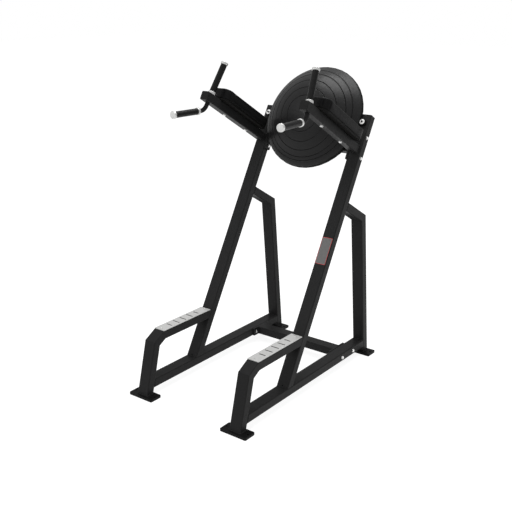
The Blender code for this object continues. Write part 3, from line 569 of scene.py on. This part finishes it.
class StageSettings(bpy.types.PropertyGroup):
    """Light and floor"""

    floor: colour("Floor", "Colour of the floor", (0.86, 0.86, 0.86))
    key: FloatProperty(name="Key light", description="Power of the key light", default=122.0, unit="POWER")
    fill: FloatProperty(name="Fill light", description="Power of the fill light", default=35.0, unit="POWER")
    sky: FloatProperty(name="Sky", description="Strength of the light overhead", default=0.6)
    horizon: FloatProperty(name="Horizon", description="Strength of the light at the horizon", default=0.45)
    glow: FloatProperty(name="Floor glow", description="Brightness that whitens the floor", default=1.45)
    lens: FloatProperty(name="Lens", description="Focal length", default=56.32, unit="CAMERA")


# Pieces

class STATION_OT_frame(bpy.types.Operator):
    """Dress the tubes and plates of the side frames, the arms and the cross tubes"""

    bl_idname = "station.frame"
    bl_label = "Frame"

    def execute(self, context):
        settings = context.scene.station_frame
        paint = paint_material("satin_powder_coat", settings.paint)
        # painted shade: the foot plates get a darker copy of the frame paint
        plate_shade_coat = paint_material("foot_plate_shaded_coat", settings.shaded_plate_paint)
        for side, _ in SIDES:
            for name in ("base_rail", "front_leg", "step_tube", "upright", "rear_brace", "arm_tube"):
                dressed(side + "_" + name, "_painted", paint)
            for name in ("front_foot_plate", "rear_foot_plate"):
                dressed(side + "_" + name, "_painted", plate_shade_coat, settings.edge)
        for node in ("lower_cross_tube", "upper_cross_tube"):
            dressed(node, "_painted", paint)
        return {"FINISHED"}


class STATION_OT_welds(bpy.types.Operator):
    """Lay rippled weld beads where tubes and plates meet"""

    bl_idname = "station.welds"
    bl_label = "Welds"

    def foot_loop(self, x, low_y, high_y, settings):
        """Bead round the foot of a leg or post on its plate."""
        path = rounded_loop(TUBE_HALF + 0.001, (high_y - low_y) / 2 + 0.001, 0.008, 0.0008)
        place = Vector((x, (low_y + high_y) / 2, PLATE_TOP + 0.0005))
        return swept([place + point for point in path], Vector((0, 0, 1)), settings.foot_bead, 10, True, 0.07)

    def cross_line(self, x, y, z, settings):
        """Bead across the width of a tube."""
        half = TUBE_HALF - 0.005
        path = line(Vector((x - half, y, z)), Vector((x + half, y, z)), 0.0008)
        return swept(path, Vector((0, 0, 1)), settings.bead, 8, False, 0.08)

    def arm_loop(self, x, settings):
        """Bead round the root of an arm on its upright."""
        path = rounded_loop(ARM_HALF + 0.0006, ARM_HALF + 0.0006, 0.008, 0.0008)
        place = leaning(x, -0.0012, ARM_HEIGHT) @ FRONTWARDS
        return swept([place @ point for point in path], -BACK, settings.bead, 8, True, 0.08)

    def execute(self, context):
        settings = context.scene.station_frame
        paint = bpy.data.materials["satin_powder_coat"]
        for side, sign in SIDES:
            x = sign * SIDE_OFFSET
            beads = []
            lines = []
            for name in ("_front_leg", "_rear_brace"):
                foot = span(p.y for p in node_points(side + name) if p.z < 0.018)
                beads.append(self.foot_loop(x, *foot, settings))
            rail = node_points(side + "_base_rail")
            middle_y = sum(span(p.y for p in rail)) / 2
            for level in (RAIL_TOP, RAIL_BOTTOM):
                near = [p.y for p in rail if abs(p.z - level) < 0.0006]
                front = max(y for y in near if y < middle_y and y < min(near) + 0.02)
                rear = min(y for y in near if y > middle_y and y > max(near) - 0.02)
                lines += [(front + 0.0004, level), (rear - 0.0004, level)]
            front, rear = span(p.y for p in node_points(side + "_upright") if p.z < RAIL_TOP + 0.001)
            lines += [(front - 0.0004, RAIL_TOP + 0.0008), (rear + 0.0004, RAIL_TOP + 0.0008)]
            step = [p for p in node_points(side + "_step_tube") if p.y > -0.2]
            for level in span(p.z for p in step):
                lines.append((max(p.y for p in step if abs(p.z - level) < 0.0006) - 0.0004, level))
            brace = [p for p in node_points(side + "_rear_brace") if p.y < 0.37]
            for corner in (min(brace, key=lambda p: p.z), max(brace, key=lambda p: p.z)):
                lines.append((corner.y + 0.0004, corner.z))
            beads += [self.cross_line(x, y, z, settings) for y, z in lines]
            beads.append(self.arm_loop(x, settings))
            add_piece(side + "_weld_beads", joined(beads), paint, sharp=60.0, weighted=False)
        beads = []
        for node, axis in (("lower_cross_tube", Vector((0, 1, 0))), ("upper_cross_tube", UP)):
            middle = node_axis(node)
            lift = axis.cross(Vector((1, 0, 0))).normalized()
            for _, sign in SIDES:
                for end in (-1, 1):
                    place = middle + axis * end * (TUBE_HALF + 0.0004)
                    place.x = sign * FLANGE_MIDDLE
                    half = lift * (TUBE_DEPTH / 2 - 0.005)
                    path = line(place - half, place + half, 0.0008)
                    beads.append(swept(path, Vector((1, 0, 0)), settings.bead, 8, False, 0.08))
        add_piece("cross_tube_weld_beads", joined(beads), paint, sharp=60.0, weighted=False)
        return {"FINISHED"}


class STATION_OT_caps(bpy.types.Operator):
    """Plastic plugs on the tops of the uprights and the front ends of the arms"""

    bl_idname = "station.caps"
    bl_label = "End caps"

    def execute(self, context):
        plastic = plain_material("moulded_plastic")
        for side, _ in SIDES:
            for name in ("upright_cap", "arm_end_cap"):
                dressed(side + "_" + name, "_moulded", plastic, 0.0012, 3)
        return {"FINISHED"}


class STATION_OT_treads(bpy.types.Operator):
    """Slotted step treads and their screws"""

    bl_idname = "station.treads"
    bl_label = "Step treads"

    def shade_slots(self, work, low, high):
        """Painted shade: give the walls inside the slots the dark frame paint as their second material."""
        work.normal_update()
        for face in work.faces:
            middle = face.calc_center_median()
            inside_x = low[0] + 0.006 < middle.x < high[0] - 0.006
            inside_y = low[1] + 0.006 < middle.y < high[1] - 0.006
            if inside_x and inside_y and abs(face.normal.z) < 0.9:
                face.material_index = 1

    def execute(self, context):
        paint = bpy.data.materials["satin_powder_coat"]
        brushed = brushed_material()
        zinc = plain_material("bright_zinc")
        screws = []
        for side, sign in SIDES:
            node = side + "_step_tread"
            low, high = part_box(node)
            work = copied_node(node)
            soften(work, 0.0006)
            self.shade_slots(work, low, high)
            piece = add_piece(node + "_brushed", work, brushed, [node])
            # the dark frame paint as painted shade on the slot walls
            piece.data.materials.append(paint)
            for y in (low[1] + 0.017, high[1] - 0.017):
                screw = stacked([
                    (0.0024, -0.010), (0.0024, 0.0), (0.0050, 0.0002), (0.0050, 0.0009), (0.0042, 0.0019),
                    (0.0030, 0.0024), (0.0018, 0.0025, 6), (0.0018, 0.0008, 6),
                ], 24)
                screws.append(put(screw, Matrix.Translation((sign * SIDE_OFFSET, y, high[2] + 0.0001))))
        add_piece("tread_screws", joined(screws), zinc)
        return {"FINISHED"}


class STATION_OT_arm_pads(bpy.types.Operator):
    """Upholstered arm pads on their boards"""

    bl_idname = "station.arm_pads"
    bl_label = "Arm pads"

    def outline(self, settings, low, high):
        """Plan of a pad, front end first, as finely spaced points."""
        half = settings.width / 2
        front = settings.front_corner
        rear = settings.rear_corner
        corners = arc(half - front, low + front, front, -90, 90, 16)
        corners += arc(half - rear, high - rear, rear, 0, 90, 10)
        corners += arc(-half + rear, high - rear, rear, 90, 90, 10)
        corners += arc(-half + front, low + front, front, 180, 90, 16)
        return spaced(corners, 0.006)

    def cushion(self, settings, low, high):
        """Closed cushion: flat base, sides a little full, rounded edge and a crown."""
        half = settings.width / 2
        points = self.outline(settings, low, high)
        spine = (low + half, high - half)
        height = settings.height
        edge = settings.edge
        crown = 0.003
        side_top = height - crown - edge
        levels = [(0.004, 0.0), (0.0015, 0.0015), (0.0005, 0.005)]
        levels += [(0.0006 * math.cos(math.pi * step / 6) - 0.0004, 0.005 + (side_top - 0.005) * step / 7)
                   for step in range(1, 8)]
        for step in range(1, 5):
            angle = math.radians(22.5 * step)
            levels.append((edge * (1 - math.cos(angle)), side_top + edge * math.sin(angle)))
        for share in (0.22, 0.38, 0.56, 0.74, 0.90):
            rise = crown * math.sin(math.radians(90 * share))
            levels.append((edge + (half - edge) * share, height - crown + rise))
        work = bmesh.new()
        base = work.faces.new([work.verts.new(point) for point in points])
        number = work.verts.layers.int.new("number")
        for index, vert in enumerate(work.verts):
            vert[number] = index
        edges = list(base.edges)
        moved = list(work.verts)
        for index, (drawn_in, level) in enumerate(levels):
            if index:
                edges, moved = extruded(work, edges)
            share = drawn_in / half
            for vert in moved:
                start = points[vert[number]]
                middle = min(max(start.y, spine[0]), spine[1])
                vert.co = (start.x * (1 - share), start.y + (middle - start.y) * share, level)
        bmesh.ops.edgeloop_fill(work, edges=edges)
        bmesh.ops.recalc_face_normals(work, faces=work.faces)
        return work

    def crease(self, work, settings, low):
        """Shallow upright creases where the cover turns the front corners, with painted shade marked in them for
        the material.
        """
        half = settings.width / 2
        front = settings.front_corner
        # groove attribute: how much painted shade the vinyl puts in the creases
        groove = work.verts.layers.float.new("groove")
        for vert in work.verts:
            share = min(1.0, max(0.0, vert.co.z / 0.008))
            share *= min(1.0, max(0.0, (settings.height - vert.co.z) / 0.012))
            if share <= 0.0 or vert.co.y > low + front * 1.6:
                continue
            for sign in (-1, 1):
                centre = Vector((sign * (half - front), low + front))
                reach = Vector((vert.co.x, vert.co.y)) - centre
                if reach.length < front - 0.006:
                    continue
                for angle in (-72.0, -14.0):
                    line_angle = math.radians(angle if sign > 0 else -180.0 - angle)
                    off = reach.length * math.sin(math.atan2(reach.y, reach.x) - line_angle)
                    way = Vector((math.cos(line_angle), math.sin(line_angle)))
                    if abs(off) < 0.010 and reach.dot(way) > 0:
                        depth = share * math.cos(math.pi * off / 0.020) ** 2
                        inward = -reach.normalized() * 0.0016 * depth
                        vert.co.x += inward.x
                        vert.co.y += inward.y
                        # painted shade weight, deepest in the middle of a crease
                        vert[groove] = max(vert[groove], 0.7 * depth ** 2)

    def swollen(self, work, settings):
        """Push the cover out a little, by the smoothed result of a short cloth simulation."""
        mesh = bpy.data.meshes.new("cushion")
        work.to_mesh(mesh)
        cushion = linked("cushion", mesh)
        scene = bpy.context.scene
        remesh = cushion.modifiers.new("voxels", "REMESH")
        remesh.mode = "VOXEL"
        remesh.voxel_size = 0.005
        remesh.use_smooth_shade = True
        graph = bpy.context.evaluated_depsgraph_get()
        dense = bpy.data.meshes.new_from_object(cushion.evaluated_get(graph))
        cushion.modifiers.clear()
        cushion.data = dense
        start = [vert.co.copy() for vert in dense.vertices]
        base = [vert.index for vert in dense.vertices if vert.co.z < 0.003]
        pinned = cushion.vertex_groups.new(name="base")
        pinned.add(base, 1.0, "REPLACE")
        cloth = cushion.modifiers.new("cover", "CLOTH")
        for name, value in (
            ("quality", 6), ("mass", 0.4), ("use_pressure", True), ("uniform_pressure_force", 4.0),
            ("tension_stiffness", 25.0), ("compression_stiffness", 25.0), ("vertex_group_mass", "base"),
        ):
            setattr(cloth.settings, name, value)
        cloth.settings.effector_weights.gravity = 0.0
        cloth.collision_settings.use_collision = False
        cloth.point_cache.frame_start = 1
        cloth.point_cache.frame_end = CLOTH_FRAMES
        for step in range(1, CLOTH_FRAMES + 1):
            scene.frame_set(step)
        graph = bpy.context.evaluated_depsgraph_get()
        moved = bpy.data.meshes.new_from_object(cushion.evaluated_get(graph))
        shifts = []
        for vert, first in zip(moved.vertices, start):
            shift = vert.co - first
            shifts.append(shift * min(1.0, settings.swell / max(shift.length, 0.00001)))
        scene.frame_set(1)
        bpy.data.objects.remove(cushion, do_unlink=True)
        tree = KDTree(len(start))
        for index, place in enumerate(start):
            tree.insert(place, index)
        tree.balance()
        for vert in work.verts:
            if vert.co.z > 0.002:
                near = [shifts[index] for _, index, _ in tree.find_n(vert.co, 24)]
                vert.co += sum(near, Vector()) / len(near)
        return work

    def execute(self, context):
        settings = context.scene.station_pads
        vinyl = vinyl_material("pad_vinyl", settings.vinyl, 620.0, 0.30, 0.38, 0.07)
        board = board_material()
        pad = [LEAN_FRAME.inverted() @ p for p in node_points("left_arm_pad")]
        low, high = span(p.y for p in pad)
        work = self.cushion(settings, low, high)
        work = self.swollen(work, settings)
        self.crease(work, settings, low)
        mesh = mesh_from(work, "pad")
        for side, sign in SIDES:
            cushion = bmesh.new()
            cushion.from_mesh(mesh)
            if sign < 0:
                put(cushion, Matrix.Scale(-1, 4, Vector((1, 0, 0))))
                bmesh.ops.reverse_faces(cushion, faces=cushion.faces)
            put(cushion, leaning(sign * SIDE_OFFSET, 0.0, min(p.z for p in pad)))
            piece = add_piece(
                side + "_arm_pad_cover", cushion, vinyl, [side + "_arm_pad"], 60.0, False
            )
            fine = piece.modifiers.new("fine", "SUBSURF")
            fine.levels = 1
            fine.render_levels = 1
            dressed(side + "_arm_pad_board", "_stained", board, 0.001)
        bpy.data.meshes.remove(mesh)
        return {"FINISHED"}


class STATION_OT_handles(bpy.types.Operator):
    """Bent handles with their grips, collars and end caps"""

    bl_idname = "station.handles"
    bl_label = "Handles"

    def path(self, corner, upper, lower, upper_end, lower_end, radius):
        """Centre line of a handle: straight, round bend, straight."""
        bend = math.pi - upper.angle(lower)
        tangent = radius * math.tan(bend / 2)
        inside = (upper + lower).normalized()
        centre = corner + inside * radius / math.cos(bend / 2)
        first = corner + upper * tangent
        axis = (first - centre).cross(corner + lower * tangent - centre).normalized()
        points = line(upper_end, first, 0.02)[:-1]
        for step in range(17):
            points.append(centre + Quaternion(axis, bend * step / 16) @ (first - centre))
        return points + line(corner + lower * tangent, lower_end, 0.02)[1:], axis

    def rounded_side(self, radius, size, edge):
        """Levels of a round side with both of its edges rounded."""
        levels = []
        for level, angles in ((edge, (-90, -60, -30, 0)), (size - edge, (0, 30, 60, 90))):
            for angle in angles:
                turn = math.radians(angle)
                levels.append((radius - edge + edge * math.cos(turn), level + edge * math.sin(turn)))
        return levels

    def sleeve(self, radius, bore, size, edge):
        """Sleeve from z = 0 up with rounded edges."""
        return stacked([(bore, size), (bore, 0.0), *self.rounded_side(radius, size, edge)], closed=True)

    def end_cap(self, radius, size, edge, spigot):
        """Disc with rounded edges, a slightly dished face and a spigot."""
        return stacked([
            (spigot, -SPIGOT_LENGTH), (spigot, 0.0), *self.rounded_side(radius, size, edge),
            (radius * 0.80, size), (radius * 0.77, size - 0.0004), (radius * 0.30, size - 0.0006),
            (0.0004, size - 0.0007),
        ])

    def execute(self, context):
        settings = context.scene.station_handles
        paint = bpy.data.materials["satin_powder_coat"]
        rubber = rubber_material()
        metal = turned_material("turned_aluminium", (0.72, 0.72, 0.71), 0.38)
        for side, sign in SIDES:
            grips = {}
            for part in ("upper", "lower"):
                cap = node_points(side + "_" + part + "_end_cap")
                collar = node_points(side + "_" + part + "_collar")
                cap_middle = sum(cap, Vector()) / len(cap)
                collar_middle = sum(collar, Vector()) / len(collar)
                way = (cap_middle - collar_middle).normalized()
                start = min(p.dot(way) for p in collar)
                end = max(p.dot(way) for p in cap)
                root = collar_middle + way * (start - collar_middle.dot(way))
                grips[part] = (root, way, end - start)
            upper_root, upper, upper_size = grips["upper"]
            lower_root, lower, lower_size = grips["lower"]
            between = lower_root - upper_root
            run = (between.dot(upper) - between.dot(lower) * upper.dot(lower)) / (1 - upper.dot(lower) ** 2)
            corner = upper_root + upper * run
            path, across = self.path(
                corner, upper, lower,
                upper_root + upper * (upper_size - 0.0145), lower_root + lower * (lower_size - 0.0145),
                settings.bend,
            )
            tube = swept(path, across, settings.tube, 32)
            add_piece(side + "_handle_bent_tube", tube, paint, [side + "_handle_tube"], 60.0)
            for part, (root, way, size) in grips.items():
                place = facing(root, way)
                bore = settings.tube + 0.0003
                node = side + "_" + part
                collar = put(self.sleeve(settings.collar, bore, COLLAR_LENGTH, 0.0022), place)
                add_piece(node + "_collar_turned", collar, metal, [node + "_collar"])
                grip = self.sleeve(settings.grip, bore, size - 0.0296 - 0.0003, 0.0025)
                put(grip, place @ Matrix.Translation((0, 0, 0.0153)))
                add_piece(node + "_grip_rubber", grip, rubber, [node + "_grip"])
                cap = self.end_cap(settings.collar, CAP_LENGTH, 0.0022, 0.0097)
                put(cap, place @ Matrix.Translation((0, 0, size - CAP_LENGTH)))
                add_piece(node + "_end_cap_turned", cap, metal, [node + "_end_cap"])
        return {"FINISHED"}


class STATION_OT_back_pad(bpy.types.Operator):
    """Round domed back pad with ring grooves, and its board"""

    bl_idname = "station.back_pad"
    bl_label = "Back pad"

    height = 1.565
    grooves = (0.105, 0.158, 0.2065, 0.249, 0.278)
    turn_reach = 0.2975
    turn_tail = 0.283

    def profile(self, settings):
        """Half section of the dome from its crown down."""
        reach = settings.radius - settings.edge
        inside = settings.sphere - settings.edge
        level = settings.rise - settings.sphere + math.sqrt(inside ** 2 - reach ** 2)
        start = math.degrees(math.asin(reach / inside))
        shoulder = reach + settings.edge * math.sin(math.radians(start))
        half = settings.groove / 2

        def rise(radius):
            return settings.rise - settings.sphere + math.sqrt(settings.sphere ** 2 - radius ** 2)

        radii = {round(0.006 * step, 5) for step in range(1, int(shoulder / 0.006) + 1)}
        radii = {
            radius for radius in radii if all(abs(radius - groove) > half * 1.3 for groove in self.grooves)
        }
        for groove in self.grooves:
            radii.update(round(groove + half * share / 5, 5) for share in range(-6, 7))
        points = [(0.0003, rise(0.0))]
        for radius in sorted(radii):
            shares = [abs(radius - groove) / half for groove in self.grooves]
            dip = sum(math.cos(math.pi * share / 2) ** 2 for share in shares if share < 1.0)
            points.append((radius, rise(radius) - settings.groove_depth * dip))
        for step in range(7):
            turn = math.radians(start + (90 - start) * step / 6)
            points.append((reach + settings.edge * math.sin(turn), level + settings.edge * math.cos(turn)))
        points += [(settings.radius - 0.0003, 0.0012), (settings.radius - 0.0012, 0.0)]
        return points

    def mark_groove_shade(self, work, settings):
        """Note how deep each point lies in a groove, for the painted shade that the material puts in the grooves.
        """
        groove_shade = work.verts.layers.float.new("groove")
        half = settings.groove / 2
        for vert in work.verts:
            reach = math.hypot(vert.co.x, vert.co.y)
            near = min(abs(reach - groove) for groove in self.grooves)
            vert[groove_shade] = max(0.0, 1 - near / half) if vert.co.z > 0.0 else 0.0
        return work

    def share(self, settings, radius):
        """Share of the crown's turn and drop at a distance from the axis."""
        if radius < self.turn_tail:
            return 1 - (radius / self.turn_reach) ** 5
        left = max(0.0, 1 - (radius - self.turn_tail) / (settings.radius - self.turn_tail))
        return (1 - (self.turn_tail / self.turn_reach) ** 5) * left ** 2

    def pitched(self, work, settings):
        """Turn the crown towards the vertical and lower it, with the rim left flat."""
        slant = math.tan(settings.pitch)
        for vert in work.verts:
            share = self.share(settings, math.hypot(vert.co.x, vert.co.y))
            if vert.co.z > 0.0:
                vert.co.z += slant * share * vert.co.y
                vert.co.y -= settings.drop * share
        return work

    def execute(self, context):
        settings = context.scene.station_back_pad
        vinyl = vinyl_material("back_pad_vinyl", settings.vinyl, 900.0, 0.12, 0.36, 0.21)
        dome = self.pitched(self.mark_groove_shade(stacked(self.profile(settings), 144), settings), settings)
        put(dome, leaning(0.0, -0.0156, self.height) @ FRONTWARDS)
        piece = add_piece("back_pad_dome", dome, vinyl, ["dome_pad"], 60.0, False)
        dressed("dome_board", "_stained", bpy.data.materials["stained_plywood"], 0.0012)
        return {"FINISHED"}


class STATION_OT_fasteners(bpy.types.Operator):
    """Bolts with their nuts, and the washers of the back pad"""

    bl_idname = "station.fasteners"
    bl_label = "Fasteners"

    def bolt(self, shank, size, nut_start, nut_sides, nut_radius):
        """Flanged hexagon bolt with its nut: the head is above z = 0."""
        corner = 0.016 / math.sqrt(3)
        head = stacked([
            (shank, -size), (shank, 0.0), (0.0098, 0.0), (0.0100, 0.0004), (0.0098, 0.0012),
            (0.0086, 0.0018), (corner, 0.0019, 6), (corner, 0.0056, 6), (corner * 0.97, 0.0062, 6),
            (0.0072, 0.0068), (0.0040, 0.0069),
        ])
        bore = shank + 0.0001
        nut = stacked([
            (bore, nut_start), (nut_radius * 0.86, nut_start), (nut_radius, nut_start - 0.0008, nut_sides),
            (nut_radius, nut_start - 0.0072, nut_sides), (nut_radius * 0.86, nut_start - 0.0080),
            (bore, nut_start - 0.0080),
        ], closed=True)
        return joined([head, nut])

    def button(self):
        """Socket button bolt: the head is above z = 0, its middle blackened."""
        corner = 0.008 / math.sqrt(3)
        work = stacked([
            (0.005, -0.020), (0.005, 0.0), (0.0090, 0.0), (0.0092, 0.0004), (0.0090, 0.0016),
            (0.0082, 0.0030), (0.0070, 0.0042), (0.0058, 0.0048), (corner, 0.0049, 6), (corner, 0.0018, 6),
            (0.0010, 0.0012),
        ])
        for face in work.faces:
            middle = face.calc_center_median()
            if math.hypot(middle.x, middle.y) < 0.0066 and middle.z > 0.0005:
                face.material_index = 1
        return work

    def execute(self, context):
        zinc = bpy.data.materials["bright_zinc"]
        dark = plain_material("blackened_steel")
        turned = turned_material("bright_washer", (0.90, 0.90, 0.89), 0.34)
        nut_corner = 0.016 / math.sqrt(3)
        for side, sign in SIDES:
            for name in ("lower_front", "lower_rear", "upper_bottom", "upper_top"):
                level, spot = name.split("_")
                node = side + "_" + level + "_cross_bolt_" + spot
                middle = node_axis(node)
                low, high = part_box(node)
                face = high[0] - 0.0065 if sign > 0 else low[0] + 0.0065
                bolt = self.bolt(0.005, 0.0970, -0.0859, 6, nut_corner)
                turn = Matrix.Rotation(math.radians(90 * sign), 4, "Y")
                place = Matrix.Translation((face, middle.y, middle.z)) @ turn
                add_piece(node + "_plated", put(bolt, place), zinc, [node])
            for spot in ("front", "rear"):
                node = side + "_pad_bolt_" + spot
                own = [LEAN_FRAME.inverted() @ p for p in node_points(node)]
                middle = sum(span(p.y for p in own)) / 2
                place = leaning(sign * SIDE_OFFSET, middle, ARM_HEIGHT - ARM_HALF - 0.0003)
                place = place @ Matrix.Rotation(math.radians(180), 4, "X")
                bolt = self.bolt(0.004, 0.060, -0.0510, 0, 0.007)
                add_piece(node + "_plated", put(bolt, place), zinc, [node])
            place = leaning(sign * SIDE_OFFSET, -0.0156, STATION_OT_back_pad.height) @ FRONTWARDS
            washer = stacked([
                (0.0053, 0.0020), (0.0053, 0.0), (0.0147, 0.0), (0.0150, 0.0004), (0.0150, 0.0015),
                (0.0146, 0.0020),
            ], closed=True)
            node = side + "_dome_washer"
            add_piece(node + "_turned", put(washer, place), turned, [node])
            node = side + "_dome_bolt"
            head = put(self.button(), place @ Matrix.Translation((0, 0, 0.0023)))
            piece = add_piece(node + "_turned", head, turned, [node])
            piece.data.materials.append(dark)
        return {"FINISHED"}


class STATION_OT_plaque(bpy.types.Operator):
    """Bare plaque on the front of the right upright"""

    bl_idname = "station.plaque"
    bl_label = "Plaque"

    def execute(self, context):
        work = bmesh.new()
        bmesh.ops.create_cube(work, size=1.0, matrix=Matrix.Diagonal((0.066, 0.0008, 0.156, 1.0)))
        upright = [edge for edge in work.edges if abs(edge.verts[0].co.y - edge.verts[1].co.y) > 0.0005]
        bevel(work, upright, 0.004, 6)
        front = min(work.faces, key=lambda face: face.calc_center_median().y)
        bmesh.ops.inset_region(work, faces=[front], thickness=0.0003, depth=0.0002)
        for face in bmesh.ops.inset_region(work, faces=[front], thickness=0.0026, depth=0.0)["faces"]:
            face.material_index = 1
        bmesh.ops.inset_region(work, faces=[front], thickness=0.0003, depth=-0.0002)
        put(work, leaning(SIDE_OFFSET, -0.0006, PLAQUE_HEIGHT))
        piece = add_piece("bare_plaque_plate", work, plaque_material())
        piece.data.materials.append(plain_material("red_enamel"))
        return {"FINISHED"}


class STATION_OT_stage(bpy.types.Operator):
    """Floor, world, lamps and camera"""

    bl_idname = "station.stage"
    bl_label = "Stage"

    def floor(self, settings):
        """Pale floor that shows white to the camera and keeps the shadow."""
        work = bmesh.new()
        bmesh.ops.create_grid(work, x_segments=1, y_segments=1, size=30.0)
        mesh = mesh_from(work, "floor")
        made = linked("floor", mesh)
        nodes = Nodes(bpy.data.materials.new("floor"))
        nodes.tree.nodes.remove(nodes.shader)
        diffuse = nodes.add("ShaderNodeBsdfDiffuse", {"Color": (*settings.floor, 1.0)})
        glow = nodes.add("ShaderNodeEmission", {"Color": (1.0, 1.0, 1.0, 1.0), "Strength": settings.glow})
        path = nodes.add("ShaderNodeLightPath")
        seen = nodes.math("MAXIMUM", path.outputs["Is Camera Ray"], path.outputs["Is Glossy Ray"])
        seen = nodes.math("MAXIMUM", seen, path.outputs["Is Transmission Ray"])
        share = nodes.math("MULTIPLY", seen, FLOOR_GLOW_SHARE)
        mix = nodes.add("ShaderNodeMixShader", {0: share, 1: diffuse.outputs[0], 2: glow.outputs[0]})
        nodes.fill(nodes.tree.nodes["Material Output"], {"Surface": mix.outputs[0]})
        mesh.materials.append(nodes.owner)

    def world(self, settings):
        """Even white surroundings, plain white to the camera."""
        world = bpy.data.worlds.new("studio")
        bpy.context.scene.world = world
        nodes = Nodes(world)
        path = nodes.add("ShaderNodeLightPath")
        seen = nodes.math("MAXIMUM", path.outputs["Is Camera Ray"], path.outputs["Is Transmission Ray"])
        where = nodes.add("ShaderNodeTexCoord").outputs["Generated"]
        split = nodes.add("ShaderNodeSeparateXYZ", {0: where})
        height = nodes.spread(split.outputs["Z"], settings.horizon, settings.sky, 0.0, 1.0)
        strength = nodes.spread(seen, height, 1.0, 0.0, 1.0)
        sockets = {"Color": (1.0, 1.0, 1.0, 1.0), "Strength": strength}
        nodes.fill(nodes.tree.nodes["Background"], sockets)

    def lamp(self, name, power, size, place, target):
        """Soft area lamp."""
        light = bpy.data.lights.new(name, "AREA")
        light.energy = power
        light.shape = "DISK"
        light.size = size
        made = linked(name, light)
        made.location = place
        made.rotation_euler = (Vector(target) - Vector(place)).to_track_quat("-Z", "Y").to_euler()

    def execute(self, context):
        scene = context.scene
        settings = scene.station_stage
        self.floor(settings)
        self.world(settings)
        self.lamp("key", settings.key, 3.0, (0.0, 0.9, 4.8), (0.0, 0.5, 1.7))
        self.lamp("fill", settings.fill, 3.0, (-2.6, -3.6, 3.4), (0.0, 0.0, 0.9))
        lens = bpy.data.cameras.new("camera")
        lens.lens = settings.lens
        lens.sensor_width = 36.0
        camera = linked("camera", lens)
        level = math.cos(CAMERA_PITCH)
        way = Vector((-math.sin(CAMERA_YAW) * level, math.cos(CAMERA_YAW) * level, math.sin(CAMERA_PITCH)))
        camera.location = CAMERA_PLACE
        camera.rotation_euler = way.to_track_quat("-Z", "Y").to_euler()
        scene.camera = camera
        scene.view_settings.view_transform = "Standard"
        return {"FINISHED"}


OPERATORS = (
    STATION_OT_stage,
    STATION_OT_frame,
    STATION_OT_welds,
    STATION_OT_caps,
    STATION_OT_treads,
    STATION_OT_arm_pads,
    STATION_OT_handles,
    STATION_OT_back_pad,
    STATION_OT_fasteners,
    STATION_OT_plaque,
)
GROUPS = (
    ("station_frame", FrameSettings),
    ("station_pads", PadSettings),
    ("station_handles", HandleSettings),
    ("station_back_pad", BackPadSettings),
    ("station_stage", StageSettings),
)


class VIEW3D_PT_station(bpy.types.Panel):
    """Builders of the station's pieces"""

    bl_label = "Dip and Knee Raise Station"
    bl_idname = "VIEW3D_PT_station"
    bl_space_type = "VIEW_3D"
    bl_region_type = "UI"
    bl_category = "Station"

    def draw(self, context):
        for operator in OPERATORS:
            self.layout.operator(operator.bl_idname)


def register():
    for _, group in GROUPS:
        bpy.utils.register_class(group)
    for name, group in GROUPS:
        setattr(bpy.types.Scene, name, PointerProperty(type=group))
    for operator in OPERATORS:
        bpy.utils.register_class(operator)
    bpy.utils.register_class(VIEW3D_PT_station)


def unregister():
    bpy.utils.unregister_class(VIEW3D_PT_station)
    for operator in reversed(OPERATORS):
        bpy.utils.unregister_class(operator)
    for name, group in reversed(GROUPS):
        delattr(bpy.types.Scene, name)
        bpy.utils.unregister_class(group)


def main():
    """Build every piece in order."""
    register()
    bpy.ops.station.stage()
    bpy.ops.station.frame()
    bpy.ops.station.welds()
    bpy.ops.station.caps()
    bpy.ops.station.treads()
    bpy.ops.station.arm_pads()
    bpy.ops.station.handles()
    bpy.ops.station.back_pad()
    bpy.ops.station.fasteners()
    bpy.ops.station.plaque()


if __name__ == "__main__":
    main()
